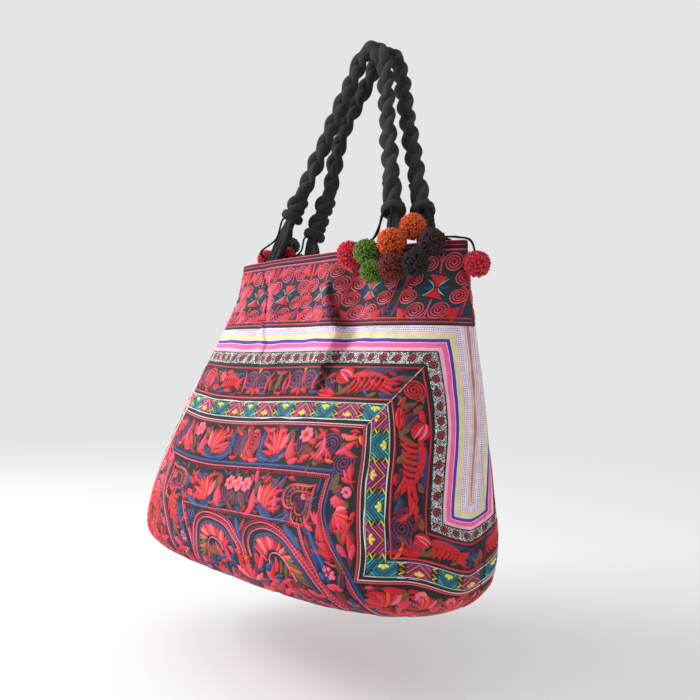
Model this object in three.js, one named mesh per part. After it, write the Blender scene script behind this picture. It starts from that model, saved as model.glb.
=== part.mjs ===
// Embroidered tote bag with two plaited handles and pompoms, shown hanging.
// Millimetres, +Z up. The origin is the point where the handles hang, +X is the bag's right
// as seen from its front, and the front faces -Y.
import * as THREE from "three";

// Clearances and cloth
const GAP = 0.3;
const WALL = 2.4;
const BINDING_WALL = 4.2;
const BINDING_HEIGHT = 8;
const SEAM_Z = -340;

// Form of the bag: one row for each level, top to bottom.
// seamY is the plane of the side seams, front and back are the depths to either side of it.
// A level is a rounded lens: flat squares its face, tip blunts its ends at the side seams.
const LEVELS = [
  { z: -250, halfWidth: 192, seamY: -62, front: 26, back: 26, tip: 2.0, flat: 2.3 },
  { z: -293, halfWidth: 196, seamY: -62, front: 42, back: 28, tip: 2.0, flat: 2.7 },
  { z: -340, halfWidth: 203, seamY: -63, front: 70, back: 32, tip: 2.2, flat: 3.2 },
  { z: -408, halfWidth: 214, seamY: -66, front: 103, back: 39, tip: 2.6, flat: 3.7 },
  { z: -475, halfWidth: 223, seamY: -72, front: 130, back: 47, tip: 2.9, flat: 4.0 },
  { z: -524, halfWidth: 231, seamY: -78, front: 142, back: 56, tip: 3.1, flat: 4.0 },
  { z: -564, halfWidth: 236, seamY: -84, front: 147, back: 60, tip: 3.2, flat: 3.8 },
  { z: -593, halfWidth: 235, seamY: -90, front: 141, back: 58, tip: 3.1, flat: 3.6 },
  { z: -612, halfWidth: 222, seamY: -95, front: 112, back: 48, tip: 2.8, flat: 3.2 },
  { z: -621, halfWidth: 200, seamY: -100, front: 48, back: 28, tip: 2.4, flat: 3.0 },
  { z: -622.5, halfWidth: 190, seamY: -102, front: 0, back: 0, tip: 2.2, flat: 3.0 },
];

// Folds in the cloth: a line from top to foot in front view. Depth is how far it sinks in,
// negative for a ridge, and width is half the width that it takes up.
const FOLDS = [
  { side: "front", topX: 16, topZ: -240, footX: 86, footZ: -420, width: 20, depth: -9 },
  { side: "front", topX: 48, topZ: -240, footX: 124, footZ: -410, width: 18, depth: 10 },
  { side: "front", topX: -140, topZ: -240, footX: -36, footZ: -400, width: 20, depth: 8 },
  { side: "front", topX: -96, topZ: -250, footX: 4, footZ: -420, width: 24, depth: -6 },
  { side: "front", topX: -60, topZ: -400, footX: 10, footZ: -560, width: 26, depth: 6 },
  { side: "back", topX: -60, topZ: -240, footX: -100, footZ: -440, width: 26, depth: 6 },
  { side: "back", topX: 50, topZ: -240, footX: 70, footZ: -470, width: 26, depth: 7 },
  { side: "back", topX: 0, topZ: -400, footX: -20, footZ: -590, width: 34, depth: 6 },
];

// Mesh density of the bag's walls
const COLUMNS = 24;
const PANEL_ROWS = 16;
const BAND_ROWS = 4;

// Plaited handles: three strands of cloth tube that weave from side to side and over each other
const STRANDS = 3;
const STRAND_RADIUS = 4.6;
const STRAND_SIDES = 5;
const PLAIT_SWAY = 8.5;
const PLAIT_CROSS = 7.7;
const PLAIT_PITCH = 81;
const PLAIT_STEPS = 12;
const PLAIT_START = 4.4;
const HANG_RADIUS = 24;
const HANG_TOP = PLAIT_SWAY + STRAND_RADIUS;
const HANG_ANGLES = [160, 125, 90, 55, 20];
const HANDLES = [
  { name: "front", hangY: -13.5, leftSway: 0 },
  { name: "back", hangY: 13.5, leftSway: -18 },
];

// Handle ends: where each knot's collar sits, where its tail goes into the mouth, and its bulbs
const HANDLE_ENDS = [
  { handle: "front", end: "left", knot: [-92, -64, -197], footX: -117, bulbs: 1 },
  { handle: "front", end: "right", knot: [91, -64, -211], footX: 109, bulbs: 1 },
  { handle: "back", end: "left", knot: [-75, -40, -220], footX: -70, bulbs: 2 },
  { handle: "back", end: "right", knot: [114, -40, -211], footX: 130, bulbs: 1 },
];
const COLLAR_RADIUS = 15;
const COLLAR_HEIGHT = 10;
const WAIST_RADIUS = 11;
const BULB_RADIUS = 13.5;
const BULB_HEIGHT = 25;
const KNOT_TOP_RADIUS = 9;
const KNOT_SIDES = 10;

// Tails: the three strands side by side, sewn inside the mouth
const TAIL_WIDTH = 25;
const TAIL_THICKNESS = 9;
const TAIL_DEPTH = 40;
const TAIL_GROOVE = 0.6;
const TAIL_CLEARANCE = 0.6;

// Pompoms: centre, radius and wool colour
const POMPOMS = [
  { name: "pompom_red_front", at: [65, -107, -258.5], radius: 15, wool: 0xc8283c },
  { name: "pompom_green_front", at: [95.5, -110.5, -259.5], radius: 15, wool: 0x5a7d2a },
  { name: "pompom_green_low", at: [111.5, -118.5, -282], radius: 13, wool: 0x5a7d2a },
  { name: "pompom_orange_front", at: [125, -104, -250.5], radius: 15.5, wool: 0xd8581f },
  { name: "pompom_brown_low", at: [140.5, -118.5, -279.5], radius: 15, wool: 0x7a2a1f },
  { name: "pompom_orange_top", at: [127.5, -72.5, -230.5], radius: 15, wool: 0xd8581f },
  { name: "pompom_brown_front", at: [172.5, -92.5, -254], radius: 15, wool: 0x45201c },
  { name: "pompom_black_low", at: [168.5, -113.5, -277], radius: 14.5, wool: 0x2a1a18 },
  { name: "pompom_red_end", at: [209.5, -66, -277], radius: 14, wool: 0xc8283c },
  { name: "pompom_orange_back", at: [172.5, -33, -271], radius: 13.5, wool: 0xd8581f },
  { name: "pompom_red_mouth", at: [-144, -62, -243.5], radius: 13.5, wool: 0xc8283c },
  { name: "pompom_dark_green", at: [-125.5, -36, -224], radius: 12.5, wool: 0x31502a },
  { name: "pompom_red_left", at: [-113, -52.5, -241], radius: 12.5, wool: 0xc8283c },
  { name: "pompom_green_back", at: [-117.5, -26.5, -245.5], radius: 11.5, wool: 0x5a7d2a },
];
const LOCK_GROOVE = 0.8;
const LOCK_TOP = 0.74;

// Cords: from a knot's collar, by way of a point or more, to a pompom. A cord that starts at a
// pompom goes straight on to the next one.
const CORD_DIAMETER = 2.4;
const CORD_SIDES = 6;
const CORD_STEP = 8;
const CORD_LEAD = 5;
const CORD_LINK_CLEARANCE = 0.95;
const CORDS = [
  { name: "cord_red_front", from: "front_right_knot",
    via: [[92, -92, -238], [83, -99, -248]], to: "pompom_red_front" },
  { name: "cord_green_front", from: "front_right_knot", via: [[98, -99, -238]], to: "pompom_green_front" },
  { name: "cord_green_low", from: "pompom_green_front", to: "pompom_green_low" },
  { name: "cord_orange_front", from: "front_right_knot",
    via: [[113, -92, -228]], to: "pompom_orange_front" },
  { name: "cord_brown_low", from: "pompom_orange_front", to: "pompom_brown_low" },
  { name: "cord_orange_top", from: "back_right_knot", via: [[123, -60, -213]], to: "pompom_orange_top" },
  { name: "cord_brown_front", from: "back_right_knot", via: [[156, -70, -233]], to: "pompom_brown_front" },
  { name: "cord_black_low", from: "pompom_brown_front", to: "pompom_black_low" },
  { name: "cord_red_end", from: "back_right_knot",
    via: [[150, -60, -240], [180, -61, -246], [199, -63, -252]], to: "pompom_red_end" },
  { name: "cord_orange_back", from: "back_right_knot",
    via: [[146, -52, -240], [160, -46, -246], [168, -38, -256]], to: "pompom_orange_back" },
  { name: "cord_red_mouth", from: "front_left_knot",
    via: [[-99, -82, -222], [-126, -86, -237]], to: "pompom_red_mouth" },
  { name: "cord_dark_green", from: "front_left_knot", via: [[-114, -44, -205]], to: "pompom_dark_green" },
  { name: "cord_red_left", from: "back_left_knot",
    via: [[-78, -57, -236], [-95, -55, -243]], to: "pompom_red_left" },
  { name: "cord_green_back", from: "back_left_knot", via: [[-88, -24, -236]], to: "pompom_green_back" },
];

// Cloth, cotton tube and wool
const TOP_CLOTH = new THREE.MeshStandardMaterial({ color: 0x8e2b34, roughness: 0.9, metalness: 0 });
const PANEL_CLOTH = new THREE.MeshStandardMaterial({ color: 0xa8333c, roughness: 0.9, metalness: 0 });
const BINDING_CLOTH = new THREE.MeshStandardMaterial({ color: 0x2a2c45, roughness: 0.9, metalness: 0 });
const BLACK_COTTON = new THREE.MeshStandardMaterial({ color: 0x1e2226, roughness: 0.95, metalness: 0 });

const group = new THREE.Group();
const pieces = new Map();

function addPiece(name, geometry, material) {
  const mesh = new THREE.Mesh(geometry, material);
  mesh.name = name;
  group.add(mesh);
  pieces.set(name, mesh);
  return mesh;
}

// Levels blended by a smooth curve along the front's centre line
const COLUMN_NAMES = Object.keys(LEVELS[0]);
const levelDown = [0];
for (let i = 1; i < LEVELS.length; i += 1) {
  const drop = LEVELS[i].z - LEVELS[i - 1].z;
  const bulge = LEVELS[i].seamY - LEVELS[i].front - LEVELS[i - 1].seamY + LEVELS[i - 1].front;
  levelDown.push(levelDown[i - 1] + Math.hypot(drop, bulge));
}
const BASE_DOWN = levelDown[levelDown.length - 1];

function levelSlope(index, column) {
  const before = Math.max(index - 1, 0);
  const after = Math.min(index + 1, LEVELS.length - 1);
  return (LEVELS[after][column] - LEVELS[before][column]) / (levelDown[after] - levelDown[before]);
}

function levelAt(down) {
  let index = 0;
  while (index < LEVELS.length - 2 && down > levelDown[index + 1]) {
    index += 1;
  }
  const span = levelDown[index + 1] - levelDown[index];
  const t = (down - levelDown[index]) / span;
  const level = {};
  for (const column of COLUMN_NAMES) {
    const start = LEVELS[index][column];
    const end = LEVELS[index + 1][column];
    const leave = levelSlope(index, column) * span;
    const arrive = levelSlope(index + 1, column) * span;
    const bend = 3 * (end - start) - 2 * leave - arrive;
    const settle = 2 * (start - end) + leave + arrive;
    level[column] = start + t * (leave + t * (bend + t * settle));
  }
  return level;
}

function downAtHeight(z) {
  let low = 0;
  let high = BASE_DOWN;
  for (let i = 0; i < 40; i += 1) {
    const middle = (low + high) / 2;
    if (levelAt(middle).z > z) {
      low = middle;
    } else {
      high = middle;
    }
  }
  return low;
}

// How far the folds push a point of one side inwards
function foldDepth(side, x, z) {
  let depth = 0;
  for (const fold of FOLDS) {
    const along = (fold.topZ - z) / (fold.topZ - fold.footZ);
    if (fold.side === side && along > 0 && along < 1) {
      const offset = (x - THREE.MathUtils.lerp(fold.topX, fold.footX, along)) / fold.width;
      depth += fold.depth * Math.exp(-offset * offset) * Math.sin(Math.PI * along);
    }
  }
  return depth;
}

// A point of the outer skin: turn runs from -1 at the left seam to 1 at the right one
function outerPoint(side, turn, down) {
  const level = levelAt(down);
  const away = side === "front" ? -1 : 1;
  const across = Math.sin((turn * Math.PI) / 2);
  const round = Math.max(1 - Math.abs(across) ** level.flat, 0) ** (1 / level.tip);
  const x = level.halfWidth * across;
  const depth = level[side] * round - foldDepth(side, x, level.z) * round;
  return new THREE.Vector3(x, level.seamY + away * (depth + GAP / 2), level.z);
}

function outwardNormal(side, turn, down) {
  const turnStep = turn > 0 ? -0.01 : 0.01;
  const downStep = down > BASE_DOWN / 2 ? -0.5 : 0.5;
  const here = outerPoint(side, turn, down);
  const beside = outerPoint(side, turn + turnStep, down).sub(here).divideScalar(turnStep);
  const below = outerPoint(side, turn, down + downStep).sub(here).divideScalar(downStep);
  const normal = beside.cross(below).normalize();
  return side === "front" ? normal.negate() : normal;
}

// A point inside the wall, kept on its own side of the seam plane
function insetPoint(side, turn, down, inset) {
  const point = outerPoint(side, turn, down);
  point.addScaledVector(outwardNormal(side, turn, down), -inset);
  const seamY = levelAt(down).seamY;
  point.y = side === "front" ? Math.min(point.y, seamY - GAP / 2) : Math.max(point.y, seamY + GAP / 2);
  return point;
}

// A closed body from points and triangles, turned so that its faces point out
function closedBody(points, triangles) {
  let volume = 0;
  for (const [a, b, c] of triangles) {
    volume += points[a].dot(points[b].clone().cross(points[c]));
  }
  const ordered = volume > 0 ? triangles : triangles.map(([a, b, c]) => [a, c, b]);
  const geometry = new THREE.BufferGeometry().setFromPoints(points);
  geometry.setIndex(ordered.flat());
  geometry.computeVertexNormals();
  return geometry;
}

// A wall of cloth between two heights of one side of the bag
function wallGeometry(side, fromDown, toDown, rows, thickness) {
  const points = [];
  const triangles = [];
  const stride = COLUMNS + 1;
  const skin = stride * (rows + 1);
  const quad = (a, b, c, d) => triangles.push([a, b, c], [a, c, d]);
  for (const inset of [0, thickness]) {
    for (let row = 0; row <= rows; row += 1) {
      const down = THREE.MathUtils.lerp(fromDown, toDown, row / rows);
      for (let column = 0; column <= COLUMNS; column += 1) {
        const turn = -1 + (2 * column) / COLUMNS;
        points.push(inset > 0 ? insetPoint(side, turn, down, inset) : outerPoint(side, turn, down));
      }
    }
  }
  for (let row = 0; row < rows; row += 1) {
    for (let column = 0; column < COLUMNS; column += 1) {
      const a = row * stride + column;
      quad(a, a + stride, a + stride + 1, a + 1);
      quad(skin + a, skin + a + 1, skin + a + stride + 1, skin + a + stride);
    }
    const left = row * stride;
    const right = left + COLUMNS;
    quad(left, skin + left, skin + left + stride, left + stride);
    quad(right, right + stride, skin + right + stride, skin + right);
  }
  for (let column = 0; column < COLUMNS; column += 1) {
    const top = column;
    const foot = rows * stride + column;
    quad(top, top + 1, skin + top + 1, skin + top);
    quad(foot, skin + foot, skin + foot + 1, foot + 1);
  }
  return closedBody(points, triangles);
}

// Bag: binding round the mouth, top band and main panel, each as a front and a back
const seamDown = downAtHeight(SEAM_Z);
for (const side of ["front", "back"]) {
  const bindingFoot = BINDING_HEIGHT;
  const bandFoot = seamDown - GAP;
  addPiece(`mouth_binding_${side}`, wallGeometry(side, 0, bindingFoot, 1, BINDING_WALL), BINDING_CLOTH);
  addPiece(`top_band_${side}`, wallGeometry(side, bindingFoot + GAP, bandFoot, BAND_ROWS, WALL), TOP_CLOTH);
  addPiece(`main_panel_${side}`, wallGeometry(side, seamDown, BASE_DOWN, PANEL_ROWS, WALL), PANEL_CLOTH);
}

// Knots: a wrapped collar with one or two bulbs of plait above it
function knotHeight(bulbs) {
  return COLLAR_HEIGHT + bulbs * BULB_HEIGHT;
}

function knotGeometry(bulbs) {
  const profile = [new THREE.Vector2(0, 0), new THREE.Vector2(COLLAR_RADIUS - 3, 0)];
  profile.push(new THREE.Vector2(COLLAR_RADIUS, COLLAR_HEIGHT / 2));
  profile.push(new THREE.Vector2(WAIST_RADIUS, COLLAR_HEIGHT));
  for (let bulb = 0; bulb < bulbs; bulb += 1) {
    const foot = COLLAR_HEIGHT + bulb * BULB_HEIGHT;
    const topRadius = bulb === bulbs - 1 ? KNOT_TOP_RADIUS : WAIST_RADIUS;
    profile.push(new THREE.Vector2(BULB_RADIUS, foot + BULB_HEIGHT * 0.45));
    profile.push(new THREE.Vector2(topRadius, foot + BULB_HEIGHT));
  }
  profile.push(new THREE.Vector2(0, knotHeight(bulbs)));
  return new THREE.LatheGeometry(profile, KNOT_SIDES);
}

// Tails: a flat bundle of three strands from the collar into the mouth
function tailRing(centre, across, through) {
  const ring = [];
  const half = TAIL_WIDTH / 2;
  const thick = TAIL_THICKNESS / 2;
  const lobes = [1, 2 / 3, 1 / 3, 0, -1 / 3, -2 / 3, -1];
  const heights = [0, 1, TAIL_GROOVE, 1, TAIL_GROOVE, 1, 0];
  const place = (x, y) => {
    const point = centre.clone().addScaledVector(across, x * half);
    ring.push(point.addScaledVector(through, y * thick));
  };
  lobes.forEach((x, i) => place(x, heights[i]));
  for (let i = lobes.length - 2; i > 0; i -= 1) {
    place(lobes[i], -heights[i]);
  }
  return ring;
}

function loftGeometry(rings) {
  const sides = rings[0].length;
  const points = rings.flat();
  const triangles = [];
  for (let ring = 0; ring < rings.length - 1; ring += 1) {
    for (let i = 0; i < sides; i += 1) {
      const a = ring * sides + i;
      const b = ring * sides + ((i + 1) % sides);
      triangles.push([a, b, b + sides], [a, b + sides, a + sides]);
    }
  }
  for (const [first, order] of [[0, -1], [(rings.length - 1) * sides, 1]]) {
    const centre = points.length;
    const ring = points.slice(first, first + sides);
    points.push(ring.reduce((sum, point) => sum.add(point), new THREE.Vector3()).divideScalar(sides));
    for (let i = 0; i < sides; i += 1) {
      const a = first + i;
      const b = first + ((i + 1) % sides);
      triangles.push(order > 0 ? [centre, a, b] : [centre, b, a]);
    }
  }
  return closedBody(points, triangles);
}

// A place just inside the wall at a given x and depth below the rim, for a tail to lie on
function tailSeat(side, x, below) {
  const inset = BINDING_WALL + TAIL_CLEARANCE + TAIL_THICKNESS / 2;
  const down = downAtHeight(LEVELS[0].z - below);
  const turn = (Math.asin(x / levelAt(down).halfWidth) * 2) / Math.PI;
  const left = insetPoint(side, turn - 0.05, down, inset);
  const right = insetPoint(side, turn + 0.05, down, inset);
  return { point: insetPoint(side, turn, down, inset), across: right.sub(left).normalize() };
}

function tailGeometry(end, collar, axis) {
  const top = collar.clone().addScaledVector(axis, -GAP);
  const seats = [0, TAIL_DEPTH / 2, TAIL_DEPTH].map((below) => tailSeat(end.handle, end.footX, below));
  const acrossTop = new THREE.Vector3(1, 0, 0);
  const halfway = {
    point: top.clone().lerp(seats[0].point, 0.5),
    across: acrossTop.clone().lerp(seats[0].across, 0.5),
  };
  const stations = [{ point: top, across: acrossTop }, halfway, ...seats];
  const rings = stations.map(({ point, across }, i) => {
    const next = stations[Math.min(i + 1, stations.length - 1)].point;
    const last = stations[Math.max(i - 1, 0)].point;
    const along = i === 0 ? axis.clone().negate() : next.clone().sub(last).normalize();
    const flatAcross = across.clone().addScaledVector(along, -across.dot(along)).normalize();
    return tailRing(point, flatAcross, along.clone().cross(flatAcross));
  });
  return loftGeometry(rings);
}

// Handle paths: from knot to knot, bending over the point where the bag hangs
function hangPoint(handle, angle) {
  const turn = THREE.MathUtils.degToRad(angle);
  const z = HANG_TOP - HANG_RADIUS + HANG_RADIUS * Math.sin(turn);
  return new THREE.Vector3(HANG_RADIUS * Math.cos(turn), handle.hangY, z);
}

class PlaitStrand extends THREE.Curve {
  constructor(path, cycles, phase) {
    super();
    this.path = path;
    this.cycles = cycles;
    this.phase = phase;
  }

  getPoint(t) {
    const angle = 2 * Math.PI * (this.cycles * t + this.phase);
    const along = this.path.getTangentAt(t);
    const through = new THREE.Vector3(0, 1, 0).addScaledVector(along, -along.y).normalize();
    const across = through.clone().cross(along);
    const point = this.path.getPointAt(t);
    point.addScaledVector(across, PLAIT_SWAY * Math.sin(angle));
    return point.addScaledVector(through, PLAIT_CROSS * Math.sin(2 * angle));
  }
}

function roundSection(radius, sides) {
  const corners = [];
  for (let i = 0; i < sides; i += 1) {
    const turn = (2 * Math.PI * i) / sides;
    corners.push(new THREE.Vector2(radius * Math.cos(turn), radius * Math.sin(turn)));
  }
  return new THREE.Shape(corners);
}

function tubeGeometry(path, radius, sides, steps) {
  return new THREE.ExtrudeGeometry(roundSection(radius, sides), { steps, extrudePath: path });
}

for (const handle of HANDLES) {
  const knotTops = [];
  for (const end of HANDLE_ENDS.filter((row) => row.handle === handle.name)) {
    const collar = new THREE.Vector3(...end.knot);
    const legTop = hangPoint(handle, end.end === "left" ? HANG_ANGLES[0] : HANG_ANGLES.at(-1));
    const axis = legTop.clone().sub(collar).normalize();
    const knot = addPiece(`${handle.name}_${end.end}_knot`, knotGeometry(end.bulbs), BLACK_COTTON);
    knot.position.copy(collar);
    knot.quaternion.setFromUnitVectors(new THREE.Vector3(0, 1, 0), axis);
    addPiece(`${handle.name}_${end.end}_tail`, tailGeometry(end, collar, axis), BLACK_COTTON);
    knotTops.push(collar.clone().addScaledVector(axis, knotHeight(end.bulbs) + PLAIT_START));
  }
  const bend = HANG_ANGLES.map((angle) => hangPoint(handle, angle));
  const leftMiddle = knotTops[0].clone().lerp(bend[0], 0.5);
  leftMiddle.x += handle.leftSway;
  const rightMiddle = knotTops[1].clone().lerp(bend.at(-1), 0.5);
  const path = new THREE.CatmullRomCurve3([knotTops[0], leftMiddle, ...bend, rightMiddle, knotTops[1]]);
  const steps = Math.round((PLAIT_STEPS * path.getLength()) / PLAIT_PITCH);
  for (let strand = 0; strand < STRANDS; strand += 1) {
    const curve = new PlaitStrand(path, steps / PLAIT_STEPS, strand / STRANDS);
    const tube = tubeGeometry(curve, STRAND_RADIUS, STRAND_SIDES, steps);
    addPiece(`${handle.name}_handle_strand_${strand + 1}`, tube, BLACK_COTTON);
  }
}

// Pompoms: a wool head with twenty raised locks, one on each face of an icosahedron
function pompomGeometry(radius) {
  const head = new THREE.IcosahedronGeometry(radius * LOCK_GROOVE, 0).getAttribute("position");
  const corner = (index) => new THREE.Vector3().fromBufferAttribute(head, index);
  const points = [];
  const triangles = [];
  for (let face = 0; face < head.count; face += 3) {
    const foot = [corner(face), corner(face + 1), corner(face + 2)];
    const middle = foot[0].clone().add(foot[1]).add(foot[2]).divideScalar(3);
    const top = foot.map((point) => middle.clone().lerp(point, LOCK_TOP).setLength(radius));
    const first = points.length;
    points.push(...foot, ...top);
    triangles.push([first + 3, first + 4, first + 5]);
    for (let i = 0; i < 3; i += 1) {
      const next = (i + 1) % 3;
      triangles.push([first + i, first + next, first + 3 + next]);
      triangles.push([first + i, first + 3 + next, first + 3 + i]);
    }
  }
  return closedBody(points, triangles);
}

for (const pompom of POMPOMS) {
  const wool = new THREE.MeshStandardMaterial({ color: pompom.wool, roughness: 1, metalness: 0 });
  addPiece(pompom.name, pompomGeometry(pompom.radius), wool).position.set(...pompom.at);
}

// Cords: each stops just short of the pieces that it ties together
function pointOnPiece(piece, from, toward, clearance) {
  const heading = toward.clone().sub(from).normalize();
  const hit = new THREE.Raycaster(from, heading).intersectObject(piece)[0];
  return from.clone().addScaledVector(heading, hit.distance - clearance);
}

// A cord leaves a collar square to its side, at mid height
function leaveCollar(knot, via) {
  const axis = new THREE.Vector3(0, 1, 0).applyQuaternion(knot.quaternion);
  const middle = knot.position.clone().addScaledVector(axis, COLLAR_HEIGHT / 2);
  const out = via.clone().sub(middle);
  out.addScaledVector(axis, -out.dot(axis)).normalize();
  const outside = middle.clone().addScaledVector(out, 2 * COLLAR_RADIUS);
  const start = pointOnPiece(knot, outside, middle, GAP);
  return [start, start.clone().addScaledVector(out, CORD_LEAD)];
}

// Turns a pompom so that one of its locks faces the cord that it hangs on
function turnLockTo(pompom, from) {
  const corners = new THREE.IcosahedronGeometry(1, 0).getAttribute("position");
  const lock = new THREE.Vector3();
  for (let i = 0; i < 3; i += 1) {
    lock.add(new THREE.Vector3().fromBufferAttribute(corners, i));
  }
  const toCord = from.clone().sub(pompom.position).normalize();
  pompom.quaternion.setFromUnitVectors(lock.normalize(), toCord);
  pompom.updateMatrixWorld(true);
}

group.updateMatrixWorld(true);
for (const cord of CORDS) {
  const start = pieces.get(cord.from);
  const end = pieces.get(cord.to);
  const via = cord.via ? cord.via.map((point) => new THREE.Vector3(...point)) : [start.position];
  turnLockTo(end, via.at(-1));
  const arrive = pointOnPiece(end, via.at(-1), end.position, GAP);
  const link = () => [pointOnPiece(start, end.position, via[0], CORD_LINK_CLEARANCE), arrive];
  const route = cord.via ? [...leaveCollar(start, via[0]), ...via, arrive] : link();
  const path = new THREE.CatmullRomCurve3(route);
  const steps = Math.max(1, Math.round(path.getLength() / CORD_STEP));
  addPiece(cord.name, tubeGeometry(path, CORD_DIAMETER / 2, CORD_SIDES, steps), BLACK_COTTON);
}

export default group;
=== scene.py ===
import math
from functools import partial

import bpy
import numpy as np
from mathutils import Euler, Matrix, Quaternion


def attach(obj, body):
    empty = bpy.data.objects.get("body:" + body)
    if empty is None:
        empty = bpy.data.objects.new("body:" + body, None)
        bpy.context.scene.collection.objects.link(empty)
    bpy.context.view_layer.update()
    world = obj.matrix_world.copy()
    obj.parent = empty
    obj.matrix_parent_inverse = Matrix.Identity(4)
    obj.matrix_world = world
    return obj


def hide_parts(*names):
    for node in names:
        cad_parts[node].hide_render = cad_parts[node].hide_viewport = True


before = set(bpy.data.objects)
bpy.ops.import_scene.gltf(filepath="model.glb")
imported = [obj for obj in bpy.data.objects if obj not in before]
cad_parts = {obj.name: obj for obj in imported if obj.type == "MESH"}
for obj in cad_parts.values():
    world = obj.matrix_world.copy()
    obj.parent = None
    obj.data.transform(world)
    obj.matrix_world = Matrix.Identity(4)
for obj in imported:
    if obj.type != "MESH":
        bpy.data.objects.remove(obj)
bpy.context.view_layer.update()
bpy.ops.object.select_all(action="DESELECT")

# All sizes are in millimetres until a mesh is made
MM = 0.001

# Camera: place in metres, angles in degrees
CAMERA_PLACE = (0.6802, -0.6922, -0.3711)
CAMERA_YAW = 46.31
CAMERA_PITCH = 90.394
CAMERA_ROLL = 0.76
CAMERA_LENS = 39.27
CAMERA_SENSOR = 36.0

# Studio, in metres and watts
FLOOR_SIZE = 12
FLOOR_HEIGHT = -0.72
FLOOR_FADE = 2.6
FLOOR_COLOUR = "f2f2f1"
ROOM_COLOUR = "f4f5f6"
ROOM_LIGHT = 0.86
LAMP_PLACE = (-1.3, -1.5, 0.5)
LAMP_AIM = (0.0, -0.1, -0.45)
LAMP_WIDTH = 1.4
LAMP_TALL = 1.6
LAMP_WATTS = 48

# Sides of the bag, with the way that each faces, and left and right hands
SIDES = ("front", "back")
AWAY = {"front": -1, "back": 1}
HANDS = (-1, 1)

# Cross sections of the bag, top to bottom. The seam line is the plane of the side seams, the depths
# lie to either side of it, tip blunts the ends of the section and flat squares its face.
HEIGHT, HALF_WIDTH, SEAM_LINE, FRONT_DEPTH, BACK_DEPTH, TIP, FLAT = range(7)
DEPTH_OF = {"front": FRONT_DEPTH, "back": BACK_DEPTH}
LEVELS = np.array([
    (-250, 192, -62, 26, 26, 2.0, 2.3),
    (-293, 196, -62, 42, 28, 2.0, 2.7),
    (-340, 203, -63, 70, 32, 2.2, 3.2),
    (-408, 214, -66, 103, 39, 2.6, 3.7),
    (-475, 223, -72, 130, 47, 2.9, 4.0),
    (-524, 231, -78, 142, 56, 3.1, 4.0),
    (-564, 236, -84, 147, 60, 3.2, 3.8),
    (-593, 235, -90, 141, 58, 3.1, 3.6),
    (-612, 222, -95, 112, 48, 2.8, 3.2),
    (-621, 200, -100, 48, 28, 2.4, 3.0),
    (-622.5, 190, -102, 0, 0, 2.2, 3.0),
])
SEAM_LEVEL = 2

# Folds: top x, top height, foot x, foot height, width and depth, a ridge where depth is negative
FOLDS = {
    "front": (
        (16, -240, 86, -420, 20, -9),
        (48, -240, 124, -410, 18, 10),
        (-140, -240, -36, -400, 20, 8),
        (-96, -250, 4, -420, 24, -6),
        (-60, -400, 10, -560, 26, 6),
    ),
    "back": (
        (-60, -240, -100, -440, 26, 6),
        (50, -240, 70, -470, 26, 7),
        (0, -400, -20, -590, 34, 6),
    ),
}
# Laps of the front, a pleat and a lesser tuck: the line of each in x and height from top to foot,
# how far the cloth steps in across it, and how far it laps over
LAPS = (
    (((32, -288), (48, -309), (82, -347), (84, -381), (87, -412)), 7.0, 5.0),
    (((-132, -256), (-74, -317), (-32, -361), (-43, -392)), 3.0, 2.0),
)
LAP_REACH = 15
LAP_EDGE = 1.4
LAP_FADE = 0.7
# Crumples of the panel: share, then two crossed waves, each with a length along x, one down and a shift
CRUMPLES = (
    (1.0, (19, 31, 0), (-47, 23, 1.1)),
    (0.7, (11, -17, 0.6), (37, 13, 0)),
)
CRUMPLE_DEPTH = 0.8
CRUMPLE_HEIGHTS = (-330, -370)
# Small puckers below the seam under the top band
PUCKER_DEPTH = 0.55
PUCKER_PITCH = 6.1
PUCKER_WANDER = 0.8
PUCKER_WANDER_PITCH = 9
PUCKER_HEIGHT = -362
PUCKER_REACH = 30

# Cloth walls, their meshes, and the flat size and area of each sheet in metres
GAP = 0.3
WALL = 2.4
BINDING_WALL = 4.2
BINDING_HEIGHT = 8
CLOTH_COLUMNS = {"front": 261, "back": 181}
PANEL_ROWS = {"front": 111, "back": 87}
BAND_ROWS = {"front": 28, "back": 24}
# Half the width of cloth that a bake map takes up. Its outside lies in the lower half of the map.
BAKE_HALF_WIDTH = 340
BAKE_MARGIN = 0.01
# Steps for slopes on the cloth, and how near they come to its edges
TURN_STEP = 0.004
TURN_LIMIT = 0.995
DOWN_STEP = 0.5
DOWN_LIMIT = 0.6
# The tape round the mouth: fall below the rim and how far in from the outer face
TAPE_SECTION = (
    (9.2, -0.1), (7.5, -0.5), (4.5, -0.6), (1.6, -0.5), (0.3, 0.2), (-0.1, 1.4), (-0.1, 2.8),
    (0.3, 4.0), (1.6, 4.6), (4.5, 4.7), (8.6, 4.5), (9.2, 2.4),
)
TAPE_COLUMNS = 260
WELD_DISTANCE = 0.00001

# Cloth borders, measured from the seam under the top band and from the side seams
SIDE_MARGIN = 16
# They have a seam line of their own, which moves round to the front lower down
SEAM_SHIFT = 13
SEAM_SHIFT_FALLS = (100, 205)
SEAM_MIRROR = 8
SEAM_LEAST = 0.4
# Their foot: where it turns, how much narrower the bands are there, and its rise away from the seam
TURN_DOWN = 205
TURN_MARGIN = 28
TURN_SQUASH = 0.72
TURN_RISE = 22
TURN_RISE_WIDTH = 90
# They hang a little lower near the middle of a side than at its ends
SAG_DEPTH = {"front": 12, "back": 4}
SAG_FALLS = (0, 66, 137, 200, 260, 330)
SAG_SHARES = (0, 0.63, 1.1, 0.75, 0.3, 0)
SAG_MIDDLE = -60
SAG_WIDTH = 110
SAG_PASSES = 6
# The field's lines move to the bag's right towards the foot of the front
FIELD_LEAN = {"front": 55, "back": 0}
FIELD_LEAN_FALLS = (190, 285)
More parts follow.
